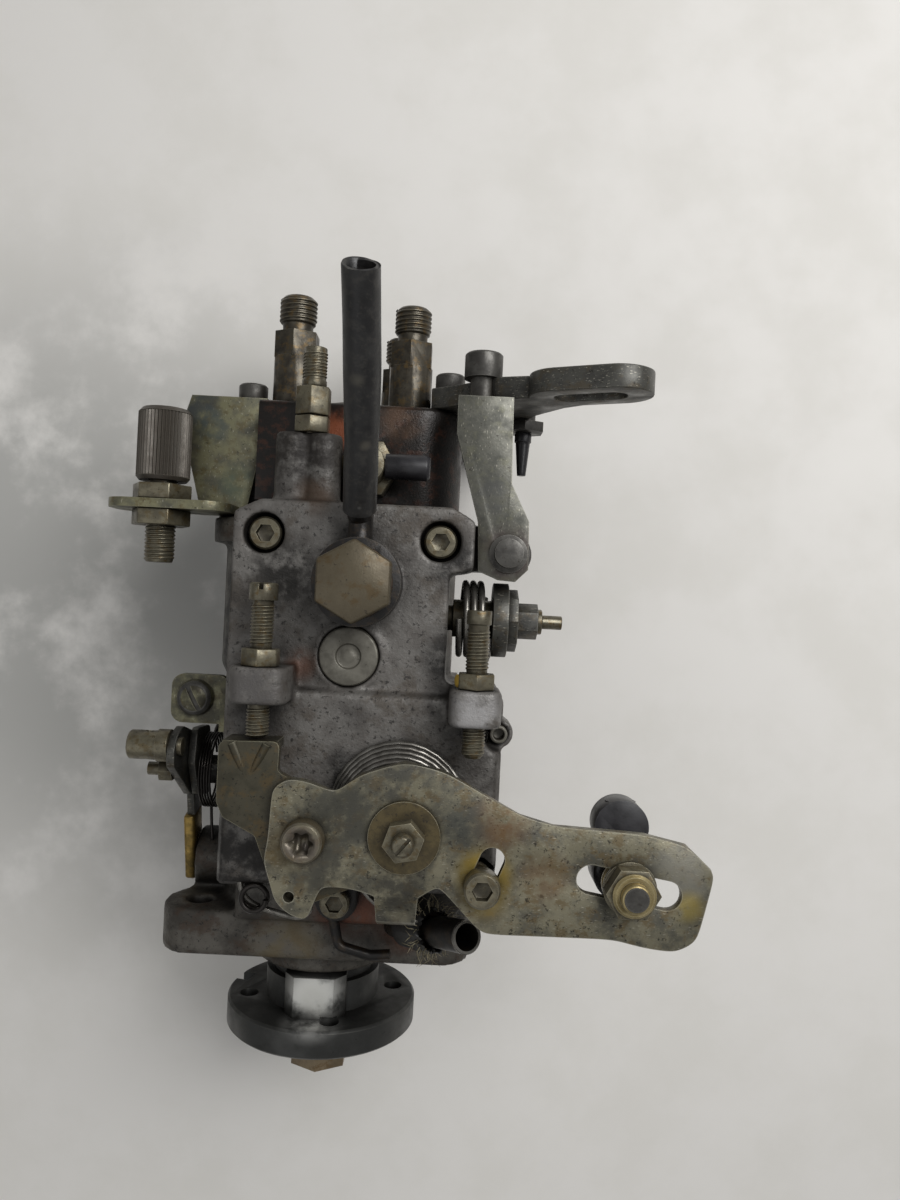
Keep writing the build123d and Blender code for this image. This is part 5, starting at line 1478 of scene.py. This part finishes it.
@dataclass
class FuelLines:
    """Banjo, return hose, frayed inlet hose and pipes."""

    hose_start: Point = (13.2, 147.0, 76.5)
    hose_end: Point = (15.0, 202.0, 118.0)
    hose_radius: float = 4.85
    wall: float = 1.15
    inlet_foot: Point = (28.8, 15.3, 40.0)
    inlet_way: Point = (0.48, 0.24, 0.84)
    fibres: int = 110

    def build(self, shop: Workshop) -> None:
        """Dress the fittings and build both hoses.

        Args:
            shop: Where pieces are made.
        """
        shop.dress("banjo_bolt", BANJO_TAN, width=0.7)
        shop.dress("banjo_washers", COPPER, width=0.25)
        shop.dress("banjo_pipe", BLACKED_STEEL, width=0.7)
        shop.dress("inlet_pipe", BLACKED_STEEL, width=0.2)
        way = Vector(self.inlet_way).normalized()
        mouth = tuple(Vector(self.inlet_foot) + way * 44.0)
        rim = [(3.82, 0.05), (4.55, 0.05), (4.75, -0.15), (4.75, -0.7), (3.82, -0.7), (3.82, 0.05)]
        shop.turning("bright_pipe_rim", SPRING_WIRE, "inlet_pipe", rim, along(mouth, tuple(way)))
        shop.dress("vent_pipe", BLACKED_STEEL, Edge.SHARP)
        self.return_hose(shop)
        self.inlet_hose(shop)

    def return_hose(self, shop: Workshop) -> None:
        """Draw the return hose with a slight dent, a bulge and an oblique cut.

        Args:
            shop: Where pieces are made.
        """
        start, end = Vector(self.hose_start), Vector(self.hose_end)
        way = (end - start).normalized()
        side = way.cross(Vector((0, 0, 1))).normalized()
        rings = []
        steps = 26
        for step in range(steps + 1):
            share = step / steps
            sway = 0.5 * math.sin(share * math.pi) * side
            bulge = 0.03 * math.exp(-(((share - 0.62) / 0.12) ** 2))
            dent = 0.04 * math.exp(-(((share - 0.3) / 0.06) ** 2))
            swell = 1 + bulge - dent
            rings.append(Station(tuple(start.lerp(end, share) + sway), tuple(way), self.hose_radius * swell))
        cut = (way + 0.12 * side + Vector((0, 0, 0.1))).normalized()
        rings.append(Station(tuple(end), tuple(cut), self.hose_radius - 0.2))
        for share in (1.0, 0.9, 0.7):
            rings.append(Station(tuple(start.lerp(end, share)), tuple(way), self.hose_radius - self.wall))
        mesh = bmesh.new()
        swept(mesh, rings, sides=44, capped=False)
        hose = shop.piece(mesh, "return_hose_stub", HOSE_RUBBER, "return_hose", smooth=60)
        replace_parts(hose, "return_hose")

    def inlet_hose(self, shop: Workshop) -> None:
        """Draw the torn end of the inlet hose and the cord that frays out of it.

        Args:
            shop: Where pieces are made.
        """
        foot, way = Vector(self.inlet_foot), Vector(self.inlet_way).normalized()
        shape = ((7, 6.1), (7.6, 6.4), (13, 6.3), (19, 6.4), (24.5, 6.2), (26, 5.6), (25, 4.8))
        rings = straight(tuple(foot), tuple(way), shape)
        mesh = bmesh.new()
        swept(mesh, rings, sides=48, capped=False)
        for vert in mesh.verts:
            reach = (vert.co / MM - foot).dot(way)
            if reach > 18:
                vert.co += way * MM * shop.random.uniform(-2.2, 0.8)
                outwards = (vert.co - (foot + way * reach) * MM).normalized()
                vert.co += outwards * MM * shop.random.uniform(-0.1, 0.7)
        hose = shop.piece(mesh, "torn_inlet_hose", HOSE_RUBBER, "inlet_hose", smooth=50)
        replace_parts(hose, "inlet_hose")
        mesh = bmesh.new()
        side = way.cross(Vector((0, 0, 1))).normalized()
        for _ in range(self.fibres):
            spin = Matrix.Rotation(shop.random.uniform(0, 2 * math.pi), 3, way)
            out = spin @ side
            root = foot + way * shop.random.uniform(19, 25) + out * 5.6
            reach = shop.random.uniform(2.0, 6.5)
            bend = way * shop.random.uniform(-0.5, 0.8)
            bend += spin @ way.cross(side) * shop.random.uniform(-0.7, 0.7)
            path = [root, root + (out + bend * 0.3) * reach * 0.5, root + (out * 0.8 + bend) * reach]
            rings = [
                Station(tuple(point), tuple((out + bend * 0.5).normalized()), radius)
                for point, radius in zip(path, (0.13, 0.12, 0.06))
            ]
            swept(mesh, rings, sides=4)
        shop.piece(mesh, "frayed_cord", TORN_CORD, "inlet_hose", smooth=80)


@dataclass
class PaintMarks:
    """Small marks left on the pump."""

    yellow_nut: Point = (43.6, 99.4, 79.8)

    def build(self, shop: Workshop) -> None:
        """Lay a dab of marking paint on the maximum-speed nut's left flat.

        Args:
            shop: Where pieces are made.
        """
        mesh = bmesh.new()
        bmesh.ops.create_uvsphere(mesh, u_segments=20, v_segments=12, radius=1.0)
        bmesh.ops.scale(mesh, vec=(0.35 * MM, 1.9 * MM, 1.6 * MM), verts=mesh.verts)
        tilt = Matrix.Rotation(math.radians(30), 4, "Y")
        bmesh.ops.transform(mesh, matrix=at(self.yellow_nut) @ tilt, verts=mesh.verts)
        shop.piece(mesh, "paint_mark", YELLOW_PAINT, "locknuts")


@dataclass
class InnerWorks:
    """Drive, governor and timing pieces inside the housing."""

    def build(self, shop: Workshop) -> None:
        """Give the inner nodes their real surfaces.

        Args:
            shop: Where pieces are made.
        """
        steel = (
            "delivery_valves", "timing_piston", "plunger", "control_spool", "governor_shaft", "governor_sleeve",
            "flyweights", "flyweight_cage", "governor_lever", "roller_ring", "cam_plate", "feed_pump_rotor",
            "feed_pump_ring", "drive_gear",
        )
        for node in steel:
            shop.paint(node, INNER_STEEL)
        for node in ("timing_spring", "plunger_springs"):
            shop.paint(node, SPRING_WIRE)


@dataclass
class Studio:
    """Bench, light and camera."""

    bench_height: float = -59.0
    camera_place: Point = (40.4, 122.2, 335.0)
    camera_turn: float = 2.8
    lens: float = 27.0

    def build(self, shop: Workshop) -> None:
        """Set up the bench, the lamps, the world and the camera.

        Args:
            shop: Where materials are made.
        """
        mesh = bmesh.new()
        bmesh.ops.create_grid(mesh, x_segments=1, y_segments=1, size=3.0)
        bmesh.ops.translate(mesh, vec=(0, 0, self.bench_height * MM), verts=mesh.verts)
        data = bpy.data.meshes.new("bench")
        mesh.to_mesh(data)
        mesh.free()
        bench = bpy.data.objects.new("bench", data)
        bpy.context.scene.collection.objects.link(bench)
        data.materials.append(shop.material(BENCH))
        self.lamp("window", (0.45, 0.5, 0.75), 0.6, 7.9)
        self.lamp("ceiling", (-0.4, -0.2, 0.9), 1.2, 2.0)
        world = bpy.data.worlds.new("room")
        world.use_nodes = True
        world.node_tree.nodes["Background"].inputs["Color"].default_value = linear("#e6e8ea")
        world.node_tree.nodes["Background"].inputs["Strength"].default_value = 0.27
        bpy.context.scene.world = world
        bpy.context.scene.view_settings.view_transform = "Standard"
        self.camera()

    def lamp(self, name: str, place: Point, size: float, power: float) -> None:
        """Hang one soft square lamp that looks at the pump.

        Args:
            name: Name of the lamp.
            place: Its place in metres.
            size: Its width in metres.
            power: Its power in watts.
        """
        data = bpy.data.lights.new(name, "AREA")
        data.size = size
        data.energy = power
        lamp = bpy.data.objects.new(name, data)
        lamp.location = place
        aim = Vector((0.02, 0.09, 0.0)) - Vector(place)
        lamp.rotation_euler = aim.to_track_quat("-Z", "Y").to_euler()
        bpy.context.scene.collection.objects.link(lamp)

    def camera(self) -> None:
        """Look straight down on the pump."""
        data = bpy.data.cameras.new("overhead")
        data.lens = self.lens
        data.sensor_width = 36.0
        data.clip_start = 0.01
        camera = bpy.data.objects.new("overhead", data)
        camera.location = Vector(self.camera_place) * MM
        camera.rotation_euler = (0, 0, math.radians(self.camera_turn))
        bpy.context.scene.collection.objects.link(camera)
        bpy.context.scene.camera = camera


def main() -> None:
    """Load the frame, dress it sub-assembly by sub-assembly and light it."""
    logging.basicConfig(level=logging.INFO, format="%(message)s")
    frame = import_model()
    shop = Workshop(frame)
    assemblies = (
        Castings(), Fasteners(), Outlets(), DriveEnd(), Linkages(), CableStop(), RearBrackets(), FuelLines(),
        PaintMarks(), InnerWorks(), Studio(),
    )
    for assembly in assemblies:
        assembly.build(shop)
        log.info("%s done", type(assembly).__name__)


if __name__ == "__main__":
    main()
